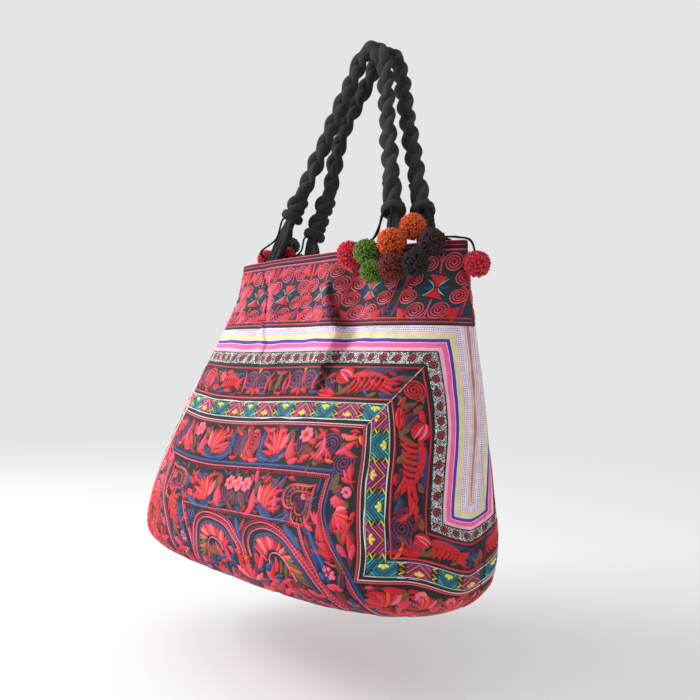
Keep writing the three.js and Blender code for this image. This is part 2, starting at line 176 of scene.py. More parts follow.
# Border colours by distance in from the cloth's edge
BORDER_SPAN = 200
BORDER_BANDS = (
    (-16, "a87f7e"), (-7.0, "dfbfc0"), (-4.6, "c4848c"), (-3.8, "e2cdd0"), (-1.6, "e09aa6"),
    (-0.6, "eddfe8"), (6.5, "d98a98"), (7.2, "efc2d0"), (9.0, "d0d792"), (13.6, "f0c0cf"),
    (14.8, "43349e"), (18.4, "f3c6d4"), (19.6, "f2629c"), (25.4, "f0b3c6"), (29.6, "17161a"),
    (44.5, "121315"), (49.5, "11171a"), (84.5, "101214"), (87.6, "e8dfe0"), (88.5, "1c2c33"),
    (105.5, "e8dfe0"), (106.4, "101214"), (113.5, "0f151a"), (165, "0d131c"),
)
# Printed ribbons of the borders: the middle and half width of each, and the size of its pattern
LATTICE_IN = 3.2
LATTICE_HALF = 2.6
LOZENGE = 1.7
FLORAL_IN = 37.2
FLORAL_HALF = 6.6
FLOWER_EVERY = 15
FLOWER_RADIUS = 4.4
FLOWER_SPAN = 10
FLOWER_RINGS = ((0.0, "2a0f14"), (0.11, "86222e"), (0.36, "191418"))
EDGE_WANDER = 5.0
# Pitch of drawn threads, and the depth of fine relief in metres
THREAD_PITCH = 1.2
STITCH_PITCH = 0.9
KNIT_PITCH = 1.4
FINE_RELIEF = 0.0004

# Plaited handles
STRANDS = 3
PLAIT_POINTS = 320
PLAIT_SWAY = 4.4
PLAIT_SWING = 1.8
PLAIT_CROSS = 3.1
PLAIT_RADIUS = 7.4
PLAIT_FLAT = 0.66
PLAIT_PITCH = 81
PLAIT_STEPS = 12
PLAIT_START = 4.4
PLAIT_SQUEEZE = 0.1
PLAIT_DRAW_IN = 0.03
STRAND_SIDES = 14
STRAND_FLAT = 0.95
STRAND_OVERRUN = 6
# The strands lie closer together where a knot holds them
STRAND_PINCH = 0.45
# Lumps of the strands: share of the radius, waves over the length, and shift from strand to strand
PLAIT_LUMPS = ((0.05, 61, 1), (0.03, 143, 0))
HANG_RADIUS = 24
HANG_TOP = 13.1
HANG_ANGLES = (160, 125, 90, 55, 20)
HANG_Y = {"front": -13.5, "back": 13.5}
LEFT_SWAY = {"front": 0, "back": -18}
# Where each plait ends: collar centre, x of the tail's foot, number of bulbs over the collar
HANDLE_ENDS = {
    "front_left": ((-92, -64, -197), -117, 1),
    "front_right": ((91, -64, -211), 109, 1),
    "back_left": ((-75, -40, -220), -70, 2),
    "back_right": ((114, -40, -211), 130, 1),
}
COLLAR_RADIUS = 15
COLLAR_HEIGHT = 10
BULB_HEIGHT = 25
# The band wound round each collar: turns in radians, reach, lowest point, rise and thickness
WRAP_POINTS = 90
WRAP_TURNS = (-0.6, 4.1 * math.pi)
WRAP_REACH = 9.8
WRAP_FOOT = 2.6
WRAP_RISE = 4.6
WRAP_RADIUS = 5.0
# Strands that run on into the band, and the core and loops of a bulb
KNOT_FOOT = 1
RUN_ON_POINTS = 40
RUN_ON_REACH = 5.2
RUN_ON_RADIUS = 6.4
CORE_POINTS = 24
CORE_OVERRUN = 4
CORE_RADIUS = 8.6
BULB_SIDES = 16
BULB_POINTS = 120
BULB_MIDDLE = 0.46
BULB_REACH = 6.0
BULB_SWELL = 2.2
BULB_RISE = 6.2
BULB_RADIUS = 5.6
# Tails: the three strands side by side, sewn inside the mouth
TAIL_POINTS = 60
TAIL_WIDTH = 25
TAIL_THICKNESS = 9
TAIL_DEPTH = 40
TAIL_CLEARANCE = 0.6
TAIL_RADIUS = 4.6
TAIL_LUMP = 0.06
TAIL_LUMP_WAVES = 17
TAIL_SPREAD_END = 0.35
TAIL_TURN_STEP = 0.05
TAIL_INTO_COLLAR = 2
TAIL_BELOW_COLLAR = 4

# Pompoms: centre, radius, yarn colour and material slot
POMPOMS = {
    "red_front": ((65, -107, -258.5), 15, "d0263c", "red_wool"),
    "green_front": ((95.5, -110.5, -259.5), 15, "5a7c2a", "green_wool"),
    "green_low": ((111.5, -118.5, -282), 13, "5a7c2a", "green_wool"),
    "orange_front": ((125, -104, -250.5), 15.5, "d8581f", "orange_wool"),
    "brown_low": ((140.5, -118.5, -279.5), 15, "6e231c", "brown_wool"),
    "orange_top": ((127.5, -72.5, -230.5), 15, "d8581f", "orange_wool"),
    "brown_front": ((172.5, -92.5, -254), 15, "35191a", "dark_wool"),
    "black_low": ((168.5, -113.5, -277), 14.5, "201516", "dark_wool"),
    "red_end": ((209.5, -66, -277), 14, "c4243c", "red_wool"),
    "orange_back": ((172.5, -33, -271), 13.5, "d8581f", "orange_wool"),
    "red_mouth": ((-144, -62, -243.5), 13.5, "d0263c", "red_wool"),
    "dark_green": ((-125.5, -36, -224), 12.5, "31502a", "dark_green_wool"),
    "red_left": ((-113, -52.5, -241), 12.5, "d0263c", "red_wool"),
    "green_back": ((-117.5, -26.5, -245.5), 11.5, "5a7d2a", "green_wool"),
}
POMPOM_SEED = 100
YARN_ENDS = 650
YARN_SIDES = 4
# Ends of yarn: strays from an even spread, lean, reach, foot, share of the reach that leans,
# thickness and shade
YARN_STRAY = 0.045
YARN_LEAN = 0.38
YARN_REACH = (0.9, 1.06)
YARN_FOOT = 0.42
YARN_STRAIGHT = 0.68
YARN_LEANING = 0.32
YARN_THICKNESS = (1.0, 1.3)
YARN_SHADES = (0.78, 1.25)
YARN_HINT = (0.31, 0.74, 0.6)
# Rings along each end of yarn: share of its length, width and painted shade, darkest at the foot deep in
# the ball where shade falls
YARN_RINGS = ((0.0, 1.0, 0.3), (0.65, 1.0, 0.7), (0.93, 0.95, 1.0))
# Painted highlight at the tip of each end
YARN_TIP_HIGHLIGHT = 1.15
# Reach of the first and last ring in an end's cell of the bake map
YARN_CELL = (0.46, 0.2)

# Strings: the knot that each leaves, the points on its way, and the pompoms that it carries
STRINGS = {
    "red_front": ("front_right", ((92, -92, -238), (83, -99, -248)), ("red_front",)),
    "green_front": ("front_right", ((98, -99, -238),), ("green_front", "green_low")),
    "orange_front": ("front_right", ((113, -92, -228),), ("orange_front", "brown_low")),
    "orange_top": ("back_right", ((123, -60, -213),), ("orange_top",)),
    "brown_front": ("back_right", ((156, -70, -233),), ("brown_front", "black_low")),
    "red_end": ("back_right", ((150, -60, -240), (180, -61, -246), (199, -63, -252)), ("red_end",)),
    "orange_back": ("back_right", ((146, -52, -240), (160, -46, -246), (168, -38, -256)), ("orange_back",)),
    "red_mouth": ("front_left", ((-99, -82, -222), (-126, -86, -237)), ("red_mouth",)),
    "dark_green": ("front_left", ((-114, -44, -205),), ("dark_green",)),
    "red_left": ("back_left", ((-78, -57, -236), (-95, -55, -243)), ("red_left",)),
    "green_back": ("back_left", ((-88, -24, -236),), ("green_back",)),
}
STRING_DIAMETER = 2.4
STRING_LEAD = 5
STRING_POINTS = 44
STRING_SIDES = 10
STRING_PLIES = 2
STRING_RIB = 0.12
STRING_TWIST = 7.0

# Thread colours
THREADS = {
    "red": "c81824",
    "rose": "dc3450",
    "pink": "f06a84",
    "orange": "e2562a",
    "gold": "c8963c",
    "purple": "622653",
    "lilac": "97507f",
    "plum": "431c42",
    "navy": "223a6a",
    "blue": "34568c",
    "brown": "7a452a",
    "olive": "6a5a2e",
    "maroon": "741622",
    "teal": "1b8890",
    "sea": "4fb6a8",
    "deep_sea": "12545e",
    "magenta": "b02478",
    "violet": "da5aa8",
    "wine": "70184c",
    "yellow": "f0dc50",
    "white": "ece4e2",
    "black": "1a191d",
    "sage": "8fa69a",
}
THREAD_SHADES = (0.86, 1.12)
# Thread sewn in rows of leaves, and the lighter ply on each colour of coil
NAVY_ROWS = ("navy", "blue", "navy")
BROWN_ROWS = ("brown", "olive", "brown")
COIL_PLIES = {"purple": "lilac", "red": "pink"}
# Coils: how far in they wind, points to a turn, and their thread's and ply's shares of the pitch
COIL_FILL = 0.92
COIL_STEPS = 20
COIL_THREAD = 0.8
COIL_PLY = 0.24
COIL_PLY_IN = 0.3
CORD_COIL_TURNS = 3.2
CORD_COIL_PLY_OUT = 0.4
# Petals: how round their edges are and how wide their tips
PETAL_ROUND = 0.75
PETAL_TIP = 0.06
WIDE_PETAL = 3
# Plumes: how far apart the rows of thread start and bow, and how much they overlap
PLUME_ROOT = 0.3
PLUME_BOW = 1.5
PLUME_OVERLAP = 1.12
# Fans: the reach of their outer petals, and what the middle ones reach beyond it
FAN_OUTER = 0.82
FAN_MIDDLE = 0.18
ROSETTE_PETALS = 7

# Thread laid on the cloth: points across a thin and a wide thread, least width, how deep its edges
# sink in, and how far it keeps from the side seam and the foot
PROFILES = {3: (-1, 0, 1), 5: (-1, -0.62, 0, 0.62, 1)}
THREAD_LEAST = 0.1
THREAD_SINK = 0.15
THREAD_RISE = 0.3
THREAD_NARROW_RISE = 0.35
THREAD_FULL_WIDTH = 2.0
THREAD_FROM_SEAM = 0.2
THREAD_FROM_FOOT = 0.5
THREAD_BAKE_ROOM = 1.02
THREAD_BAKE_MARGIN = 0.005
# Sewn cloth is marked by the millimetre: size of the chart and the place of the seam's middle on it
SEWN_SIZE = (700, 540)
SEWN_MIDDLE = (350, 110)
EMBROIDERY_SEED = 7

# Lines of the borders: distance in, thread, ply and width
BORDER_CORDS = (
    (48.5, "red", "rose", 2.2),
    (83.2, "red", "pink", 2.4),
    (88.0, "white", "white", 0.8),
    (106.0, "white", "white", 0.8),
    (111.0, "white", "white", 1.0),
    (113.2, "red", "pink", 2.4),
    (30.0, "black", "black", 1.0),
)
MITRE_SEAM = (47, 110)
MITRE_POINTS = 18
TICK_EVERY = 2.8
TOP_RUN, SIDE_RUN, FOOT_RUN = range(3)

# Ribbon of corded chevrons, sewn along each border run in blocks with gold bars between
RIBBON_BLOCK = 25.0
RIBBON_BAR = 6.0
RIBBON_IN = 97.0
RIBBON_HALF = 8.2
RIBBON_OVERRUN = 10
RIBBON_SIDE_END = 262
RIBBON_FOOT_START = 122
CHEVRONS = 9
CHEVRON_STEP = 3.4
CHEVRON_SLOPE = 0.9
CHEVRON_FIRST = 9
RIBBON_PETAL = 6.0
RIBBON_PETAL_ANGLES = (-58, 0, 58)
# Each block's ground, its chevrons' threads and the way that they point
RIBBON_KINDS = (
    ("wine", ("magenta", "violet", "magenta", "gold"), 1),
    ("deep_sea", ("teal", "sea", "teal", "blue"), -1),
)
BAR_THREADS = ("gold", "yellow", "gold", "brown", "gold", "yellow")

# The top band: blocks with an hourglass, four pairs of coiled cord and corner wedges
TOP_MIDDLE = -47
TOP_FOOT = -9
TOP_HEAD = -90
TOP_BLOCKS = {
    "front": (-190, -116, -43, 25, 95, 176),
    "back": (-176, -105, -35, 35, 105, 176),
}
TOP_END_BLOCK = 74
TOP_BLOCK_SHARE = 0.985
TOP_LINES = ((TOP_HEAD, "rose", 2.2), (TOP_FOOT, "red", 2.0), (-4.2, "red", 1.8))
TAPE_FALL = -97
TAPE_LINES = (-99.8, -95.4)
LINE_FROM_SEAM = 1.5

# The animal border and the inner border, by their distance in, and the frames of the field
ANIMALS_IN = 65.8
INNER_IN = 135.5
FIRST_FRAME = {"front": 140, "back": 96}
FIRST_FRAME_TOP = 163
FIRST_FRAME_FOOT = 330
SECOND_FRAME = 100
SECOND_FRAME_TOP = 213
SECOND_FRAME_FOOT = 300
FIELD_MIDDLE = 9
# The back is narrower, so its motifs are smaller and closer together
INNER_NARROW = {"front": 1.0, "back": 0.66}
INNER_BIRD_SIZE = {"front": 1.0, "back": 0.8}
FIELD_NARROW = {"front": 1.0, "back": 0.6}
FIELD_SIZE = {"front": 1.0, "back": 0.7}
# A peacock lobe right of the field's middle line: its outline from the middle over the top to the foot
LOBE_LINE = (
    (2, -8), (3, 3), (17, 19), (35, 26), (51, 28), (65, 25), (79, 16), (89, 3), (97, -13),
    (104, -29), (109, -46),
)
LOBE_HEART = (54, -9)
LOBE_FLAMES = 19
FLAME_THREADS = ("rose", "red", "orange", "pink")
DARK_FLAME_THREADS = ("brown", "orange", "olive")
FLAME_CHANGE = 0.62

# Filling feathers: threads, length, width, and how many of the points tried on each may be sewn already
TOP_FILL = (("navy", "maroon", "navy"), (5, 9), (2.0, 3.2), 4)
ANIMAL_FILLS = (
    (("navy", "maroon", "brown", "red"), (12, 20), (5.5, 7.5), 3),
    (("maroon", "brown", "navy", "red", "plum", "olive"), (9, 17), (3.6, 5.2), 4),
)
INNER_FILLS = (
    (("red", "rose", "maroon", "red"), (14, 24), (6.0, 8.5), 3),
    (("navy", "red", "brown", "rose", "maroon", "red"), (9, 18), (3.8, 5.6), 4),
)
# For the field also the first and last fall and the number of tries
FIELD_FILLS = (
    (176, 400, 2400, (("red", "rose", "navy", "maroon"), (14, 24), (6.0, 8.5), 3)),
    (168, 236, 900, (("navy", "brown", "navy", "maroon", "red"), (9, 18), (3.6, 5.4), 4)),
    (236, 400, 2600, (("rose", "navy", "red", "pink", "brown", "blue"), (9, 20), (4.0, 6.4), 4)),
)
TOP_TRIES = 260
ANIMAL_TRIES = (1500, 4500, 4500)
INNER_TRIES = (1500, 1500, 1500, 3500, 3500)
FILL_BOW = 0.35
FILL_POINTS = 7
FILL_REACH = 0.4
# Where filling may lie: from the side seam, across the animal border, and in from the inner border's edge
FILL_FROM_SEAM = 2
ANIMALS_FIRST = 52
ANIMALS_LAST = 80.5
INNER_FIRST = 116


def linear(code):
    channels = [int(code[i:i + 2], 16) / 255 for i in (0, 2, 4)]
    return [c / 12.92 if c <= 0.04045 else ((c + 0.055) / 1.055) ** 2.4 for c in channels]


def paint(code):
    return (*linear(code), 1.0)


def smooth_step(low, high, value):
    t = np.clip((np.asarray(value, float) - low) / (high - low), 0, 1)
    return t * t * (3 - 2 * t)


def unit(vectors):
    return vectors / np.maximum(np.linalg.norm(vectors, axis=-1, keepdims=True), 1e-9)


def run_along(path):
    return np.concatenate([[0], np.cumsum(np.linalg.norm(np.diff(path, axis=0), axis=1))])


# The bag's cloth as a surface: turn goes from one side seam to the other, down from the rim to the foot
FRONT_LINE = LEVELS[:, SEAM_LINE] - LEVELS[:, FRONT_DEPTH]
DOWNS = np.concatenate([[0], np.cumsum(np.hypot(np.diff(LEVELS[:, HEIGHT]), np.diff(FRONT_LINE)))])
END_SLOPES = np.diff(LEVELS, axis=0) / np.diff(DOWNS)[:, None]
MIDDLE_SLOPES = (LEVELS[2:] - LEVELS[:-2]) / (DOWNS[2:] - DOWNS[:-2])[:, None]
SLOPES = np.concatenate([END_SLOPES[:1], MIDDLE_SLOPES, END_SLOPES[-1:]])
SEAM_DOWN = DOWNS[SEAM_LEVEL]
BASE_DOWN = DOWNS[-1]


def levels_at(down):
    down = np.clip(np.asarray(down, float), 0, BASE_DOWN)
    i = np.clip(np.searchsorted(DOWNS, down, side="right") - 1, 0, len(DOWNS) - 2)
    span = DOWNS[i + 1] - DOWNS[i]
    t = ((down - DOWNS[i]) / span)[..., None]
    span = span[..., None]
    rise = (2 * t ** 3 - 3 * t ** 2 + 1) * LEVELS[i] + (3 * t ** 2 - 2 * t ** 3) * LEVELS[i + 1]
    return rise + (t ** 3 - 2 * t ** 2 + t) * span * SLOPES[i] + (t ** 3 - t ** 2) * span * SLOPES[i + 1]


def step_across(line, x, z):
    xs, zs = np.array(line, float).T
    along = np.clip((zs[0] - z) / (zs[0] - zs[-1]), 0, 1)
    off = x - np.interp(-z, -zs, xs)
    fade = np.sin(np.pi * along ** LAP_FADE) ** LAP_FADE * np.exp(-(off / LAP_REACH) ** 2)
    return fade * np.tanh(off / LAP_EDGE)


def fold_depth(side, x, z):
    depth = np.zeros_like(x)
    for top_x, top_z, foot_x, foot_z, width, deep in FOLDS[side]:
        along = np.clip((top_z - z) / (top_z - foot_z), 0, 1)
        off = (x - (top_x + (foot_x - top_x) * along)) / width
        depth += deep * np.exp(-off ** 2) * np.sin(np.pi * along)
    crumple = np.zeros_like(x)
    for share, *waves in CRUMPLES:
        first, second = [np.sin(x / across + z / fall + shift) for across, fall, shift in waves]
        crumple += share * first * second
    wander = PUCKER_WANDER * np.sin(z / PUCKER_WANDER_PITCH)
    pucker = np.sin(x / PUCKER_PITCH + wander) * np.exp(-((z - PUCKER_HEIGHT) / PUCKER_REACH) ** 2)
    return depth + CRUMPLE_DEPTH * crumple * smooth_step(*CRUMPLE_HEIGHTS, z) + PUCKER_DEPTH * pucker


def cloth_point(side, turn, down):
    z, half_width, seam_y, front, back, tip, flat = np.moveaxis(levels_at(down), -1, 0)
    across = np.sin(np.asarray(turn) * np.pi / 2)
    fullness = np.maximum(1 - np.abs(across) ** flat, 0) ** (1 / tip)
    x = half_width * across
    depth = (front if side == "front" else back) * fullness
    depth = depth - fold_depth(side, x, z) * fullness
    if side == "front":
        crossings = [step_across(line, x, z) for line, _, _ in LAPS]
        for crossing, (_, step, lap) in zip(crossings, LAPS):
            depth = depth - step * crossing * fullness
            x = x - lap * crossing
    return np.stack([x, seam_y + AWAY[side] * (depth + GAP / 2), z], -1)


def cloth_normal(side, turn, down):
    turn = np.clip(turn, -TURN_LIMIT, TURN_LIMIT)
    down = np.clip(down, DOWN_LIMIT, BASE_DOWN - DOWN_LIMIT)
    along = cloth_point(side, turn + TURN_STEP, down) - cloth_point(side, turn - TURN_STEP, down)
    fall = cloth_point(side, turn, down + DOWN_STEP) - cloth_point(side, turn, down - DOWN_STEP)
    return AWAY[side] * unit(np.cross(along, fall))


# Distances on the cloth: off from the middle line of a side, and fall from the seam under the top band
TABLE_DOWNS = np.linspace(0, BASE_DOWN, 260)
TABLE_SHARES = np.linspace(0, 1, 160)
TABLE_TURNS = np.linspace(0, 1, 500)


def turn_table(side):
    level = levels_at(TABLE_DOWNS)
    across = np.sin(TABLE_TURNS * np.pi / 2)
    fullness = np.maximum(1 - across[None, :] ** level[:, [FLAT]], 0) ** (1 / level[:, [TIP]])
    x = level[:, [HALF_WIDTH]] * across
    y = level[:, [DEPTH_OF[side]]] * fullness
    steps = np.hypot(np.diff(x, axis=1), np.diff(y, axis=1))
    length = np.concatenate([np.zeros((len(x), 1)), np.cumsum(steps, axis=1)], axis=1)
    table = [np.interp(TABLE_SHARES * run[-1], run, TABLE_TURNS) for run in length]
    return length[:, -1], np.array(table)


TURN_TABLES = {side: turn_table(side) for side in SIDES}


def half_round(side, fall):
    return np.interp(np.asarray(fall) + SEAM_DOWN, TABLE_DOWNS, TURN_TABLES[side][0])


def turn_at(side, off, fall):
    share = np.clip(np.abs(off) / half_round(side, fall), 0, 1) * (len(TABLE_SHARES) - 1)
    row = np.clip((fall + SEAM_DOWN) / BASE_DOWN, 0, 1) * (len(TABLE_DOWNS) - 1)
    i = np.minimum(share.astype(int), len(TABLE_SHARES) - 2)
    j = np.minimum(row.astype(int), len(TABLE_DOWNS) - 2)
    s = share - i
    r = row - j
    table = TURN_TABLES[side][1]
    upper = table[j, i] * (1 - s) + table[j, i + 1] * s
    lower = table[j + 1, i] * (1 - s) + table[j + 1, i + 1] * s
    return np.sign(off) * (upper * (1 - r) + lower * r)


# The borders' own measures: edge is in from their seam line, turned is in from their foot
def sag(side, off, fall):
    deep = np.interp(fall, SAG_FALLS, SAG_SHARES)
    return SAG_DEPTH[side] * np.exp(-((off - SAG_MIDDLE) / SAG_WIDTH) ** 2) * deep


def own_half(side, fall):
    shift = SEAM_SHIFT * smooth_step(*SEAM_SHIFT_FALLS, fall)
    half = half_round(side, fall)
    return half - shift if side == "front" else half + 2 * SEAM_MIRROR + shift


def mirrored(edge):
    return SEAM_MIRROR + np.abs(edge - SEAM_MIRROR)


def least_edge(side):
    return SEAM_LEAST - SEAM_SHIFT if side == "front" else SEAM_LEAST + SEAM_SHIFT + 2 * SEAM_MIRROR


def turn_rise(edge):
    return TURN_RISE * smooth_step(0, TURN_RISE_WIDTH, edge)


def turned_edge(edge, fall):
    return (fall - TURN_DOWN + turn_rise(edge)) / TURN_SQUASH + TURN_MARGIN


def turned_fall(turned, edge):
    return TURN_DOWN + (turned - TURN_MARGIN) * TURN_SQUASH - turn_rise(edge)


def edge_of(side, chart):
    return mirrored(own_half(side, chart[:, 1]) - np.abs(chart[:, 0]))


def inward_of(side, chart):
    edge = edge_of(side, chart)
    edge = np.maximum(edge, turned_edge(edge, chart[:, 1]))
    return np.minimum(edge - SIDE_MARGIN, chart[:, 1])


def run_of(side, chart):
    edge = edge_of(side, chart)
    low = np.where(turned_edge(edge, chart[:, 1]) > edge, FOOT_RUN, SIDE_RUN)
    return np.where(chart[:, 1] < edge - SIDE_MARGIN, TOP_RUN, low)


def leaning(side, chart):
    moved = np.array(chart, float)
    moved[:, 0] += FIELD_LEAN[side] * smooth_step(*FIELD_LEAN_FALLS, moved[:, 1])
    return moved


# Meshes from arrays
def make_piece(name, points, faces, materials):
    mesh = bpy.data.meshes.new(name)
    points = np.asarray(points, float) * MM
    faces = np.asarray(faces, np.int32)
    size = faces.shape[1]
    mesh.vertices.add(len(points))
    mesh.vertices.foreach_set("co", points.ravel())
    mesh.loops.add(faces.size)
    mesh.loops.foreach_set("vertex_index", faces.ravel())
    mesh.polygons.add(len(faces))
    mesh.polygons.foreach_set("loop_start", np.arange(0, faces.size, size, dtype=np.int32))
    mesh.polygons.foreach_set("loop_total", np.full(len(faces), size, np.int32))
    mesh.polygons.foreach_set("use_smooth", np.full(len(faces), True))
    for material in materials:
        mesh.materials.append(material)
    mesh.update(calc_edges=True)
    mesh.validate()
    piece = bpy.data.objects.new(name, mesh)
    bpy.context.scene.collection.objects.link(piece)
    return piece


def settle(piece, slot, *nodes):
    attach(piece, "root")
    if nodes:
        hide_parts(*nodes)


def lay_map(piece, name, per_point):
    corner = np.empty(len(piece.data.loops), np.int32)
    piece.data.loops.foreach_get("vertex_index", corner)
    layer = piece.data.uv_layers.new(name=name, do_init=False)
    layer.uv.foreach_set("vector", per_point[corner].astype(np.float32).ravel())


def colour_points(piece, name, colours):
    layer = piece.data.color_attributes.new(name, "FLOAT_COLOR", "POINT")
    rgba = np.concatenate([colours, np.ones((len(colours), 1))], axis=1)
    layer.data.foreach_set("color", rgba.astype(np.float32).ravel())


def finish_with(piece, kind, **settings):
    modifier = piece.modifiers.new(kind.title(), kind)
    for key, value in settings.items():
        setattr(modifier, key, value)
    bpy.ops.object.select_all(action="DESELECT")
    piece.select_set(True)
    bpy.context.view_layer.objects.active = piece
    bpy.ops.object.modifier_apply(modifier=modifier.name)
    piece.select_set(False)


def grid_faces(rows, columns, flip):
    first = (np.arange(rows - 1)[:, None] * columns + np.arange(columns - 1)[None, :]).ravel()
    quads = np.stack([first, first + 1, first + columns + 1, first + columns], 1)
    return quads[:, ::-1] if flip else quads


def joined(parts):
    points, faces, *more = zip(*parts)
    starts = np.cumsum([0] + [len(part) for part in points[:-1]])
    faces = [part + start for part, start in zip(faces, starts)]
    return [np.concatenate(group) for group in (points, faces, *more)]


def tube(path, radius, sides, flat=1.0, across=(0, 1, 0), rib=0.0, twist=1.0):
    # A closed tube along a path, flattened across or ribbed like twisted plies
    path = np.asarray(path, float)
    along = unit(np.gradient(path, axis=0))
    side = np.zeros_like(path)
    hint = np.asarray(across, float)
    for i in range(len(path)):
        hint = unit(hint - along[i] * (hint @ along[i]))
        side[i] = hint
    through = np.cross(along, side)
    angle = np.linspace(0, 2 * np.pi, sides, endpoint=False)
    run = run_along(path)
    swell = 1 + rib * np.cos(STRING_PLIES * (angle[None, :] - 2 * np.pi * run[:, None] / twist))
    reach = np.broadcast_to(np.asarray(radius, float), (len(path),))[:, None] * swell
    points = path[:, None, :] + side[:, None, :] * (reach * np.cos(angle))[..., None]
    points = points + through[:, None, :] * (flat * reach * np.sin(angle))[..., None]
    points = np.concatenate([points.reshape(-1, 3), path[[0, -1]]])
    lay = np.stack([np.repeat(run, sides), np.tile(angle, len(path)) * np.mean(radius)], 1)
    lay = np.concatenate([lay, [[run[0], 0], [run[-1], 0]]])
    here = np.arange(sides)
    there = (here + 1) % sides
    row = np.arange(len(path) - 1)[:, None] * sides
    near, near_next = row + here, row + there
    far, far_next = near + sides, near_next + sides
    first = np.stack([near, near_next, far_next], -1).reshape(-1, 3)
    second = np.stack([near, far_next, far], -1).reshape(-1, 3)
    end = len(path) * sides
    last = end - sides
    foot = np.stack([there, here, np.full(sides, end)], 1)
    top = np.stack([last + here, last + there, np.full(sides, end + 1)], 1)
    return points, np.concatenate([first, foot, top, second]), lay


def smooth_path(points, count):
    # A centripetal curve through the points, cut into even steps
    points = np.asarray(points, float)
    ends = np.concatenate([[2 * points[0] - points[1]], points, [2 * points[-1] - points[-2]]])
    dense = []
    for i in range(len(points) - 1):
        p0, p1, p2, p3 = ends[i:i + 4]
        t0 = 0.0
        t1 = t0 + np.linalg.norm(p1 - p0) ** 0.5
        t2 = t1 + np.linalg.norm(p2 - p1) ** 0.5
        t3 = t2 + np.linalg.norm(p3 - p2) ** 0.5
        t = np.linspace(t1, t2, 60, endpoint=False)[:, None]
        a1 = (t1 - t) / (t1 - t0) * p0 + (t - t0) / (t1 - t0) * p1
        a2 = (t2 - t) / (t2 - t1) * p1 + (t - t1) / (t2 - t1) * p2
        a3 = (t3 - t) / (t3 - t2) * p2 + (t - t2) / (t3 - t2) * p3
        b1 = (t2 - t) / (t2 - t0) * a1 + (t - t0) / (t2 - t0) * a2
        b2 = (t3 - t) / (t3 - t1) * a2 + (t - t1) / (t3 - t1) * a3
        dense.append((t2 - t) / (t2 - t1) * b1 + (t - t1) / (t2 - t1) * b2)
    dense = np.concatenate(dense + [points[-1:]])
    run = run_along(dense)
    even = np.linspace(0, run[-1], count)
    return np.stack([np.interp(even, run, column) for column in dense.T], 1)


def length_of(path):
    return float(np.linalg.norm(np.diff(path, axis=0), axis=1).sum())


# Materials
def add_node(tree, kind, links=None, out=0, **settings):
    node = tree.nodes.new(f"ShaderNode{kind}")
    for key, value in settings.items():
        setattr(node, key, value)
    for socket, source in (links or {}).items():
        if isinstance(source, bpy.types.NodeSocket):
            tree.links.new(source, node.inputs[socket])
        else:
            node.inputs[socket].default_value = source
    return node.outputs[out]


def start_material(name, **sockets):
    material = bpy.data.materials.new(name)
    material.use_nodes = True
    shader = material.node_tree.nodes["Principled BSDF"]
    for socket, value in sockets.items():
        shader.inputs[socket.replace("_", " ")].default_value = value
    return material, shader, partial(add_node, material.node_tree)


def finish_material(material, shader, colour, bump):
    links = material.node_tree.links
    links.new(colour, shader.inputs["Base Color"])
    links.new(bump, shader.inputs["Normal"])
    return material


def set_stops(ramp, stops):
    for i, (position, code) in enumerate(stops):
        stop = ramp.elements[i] if i < 2 else ramp.elements.new(position)
        stop.position = position
        stop.color = paint(code)


def wave_scale(period):
    return 2 * math.pi / (20 * period)


def woven_bump(node, vector, period, directions, strength):
    # Warp and weft crossing as a grid of small bumps
    scale = wave_scale(period)
    warp, weft = [node("TexWave", {0: vector, "Scale": scale}, 1, bands_direction=d) for d in directions]
    weave = node("Math", {0: warp, 1: weft}, operation="MULTIPLY")
    return node("Bump", {"Strength": strength, "Distance": FINE_RELIEF, "Height": weave})


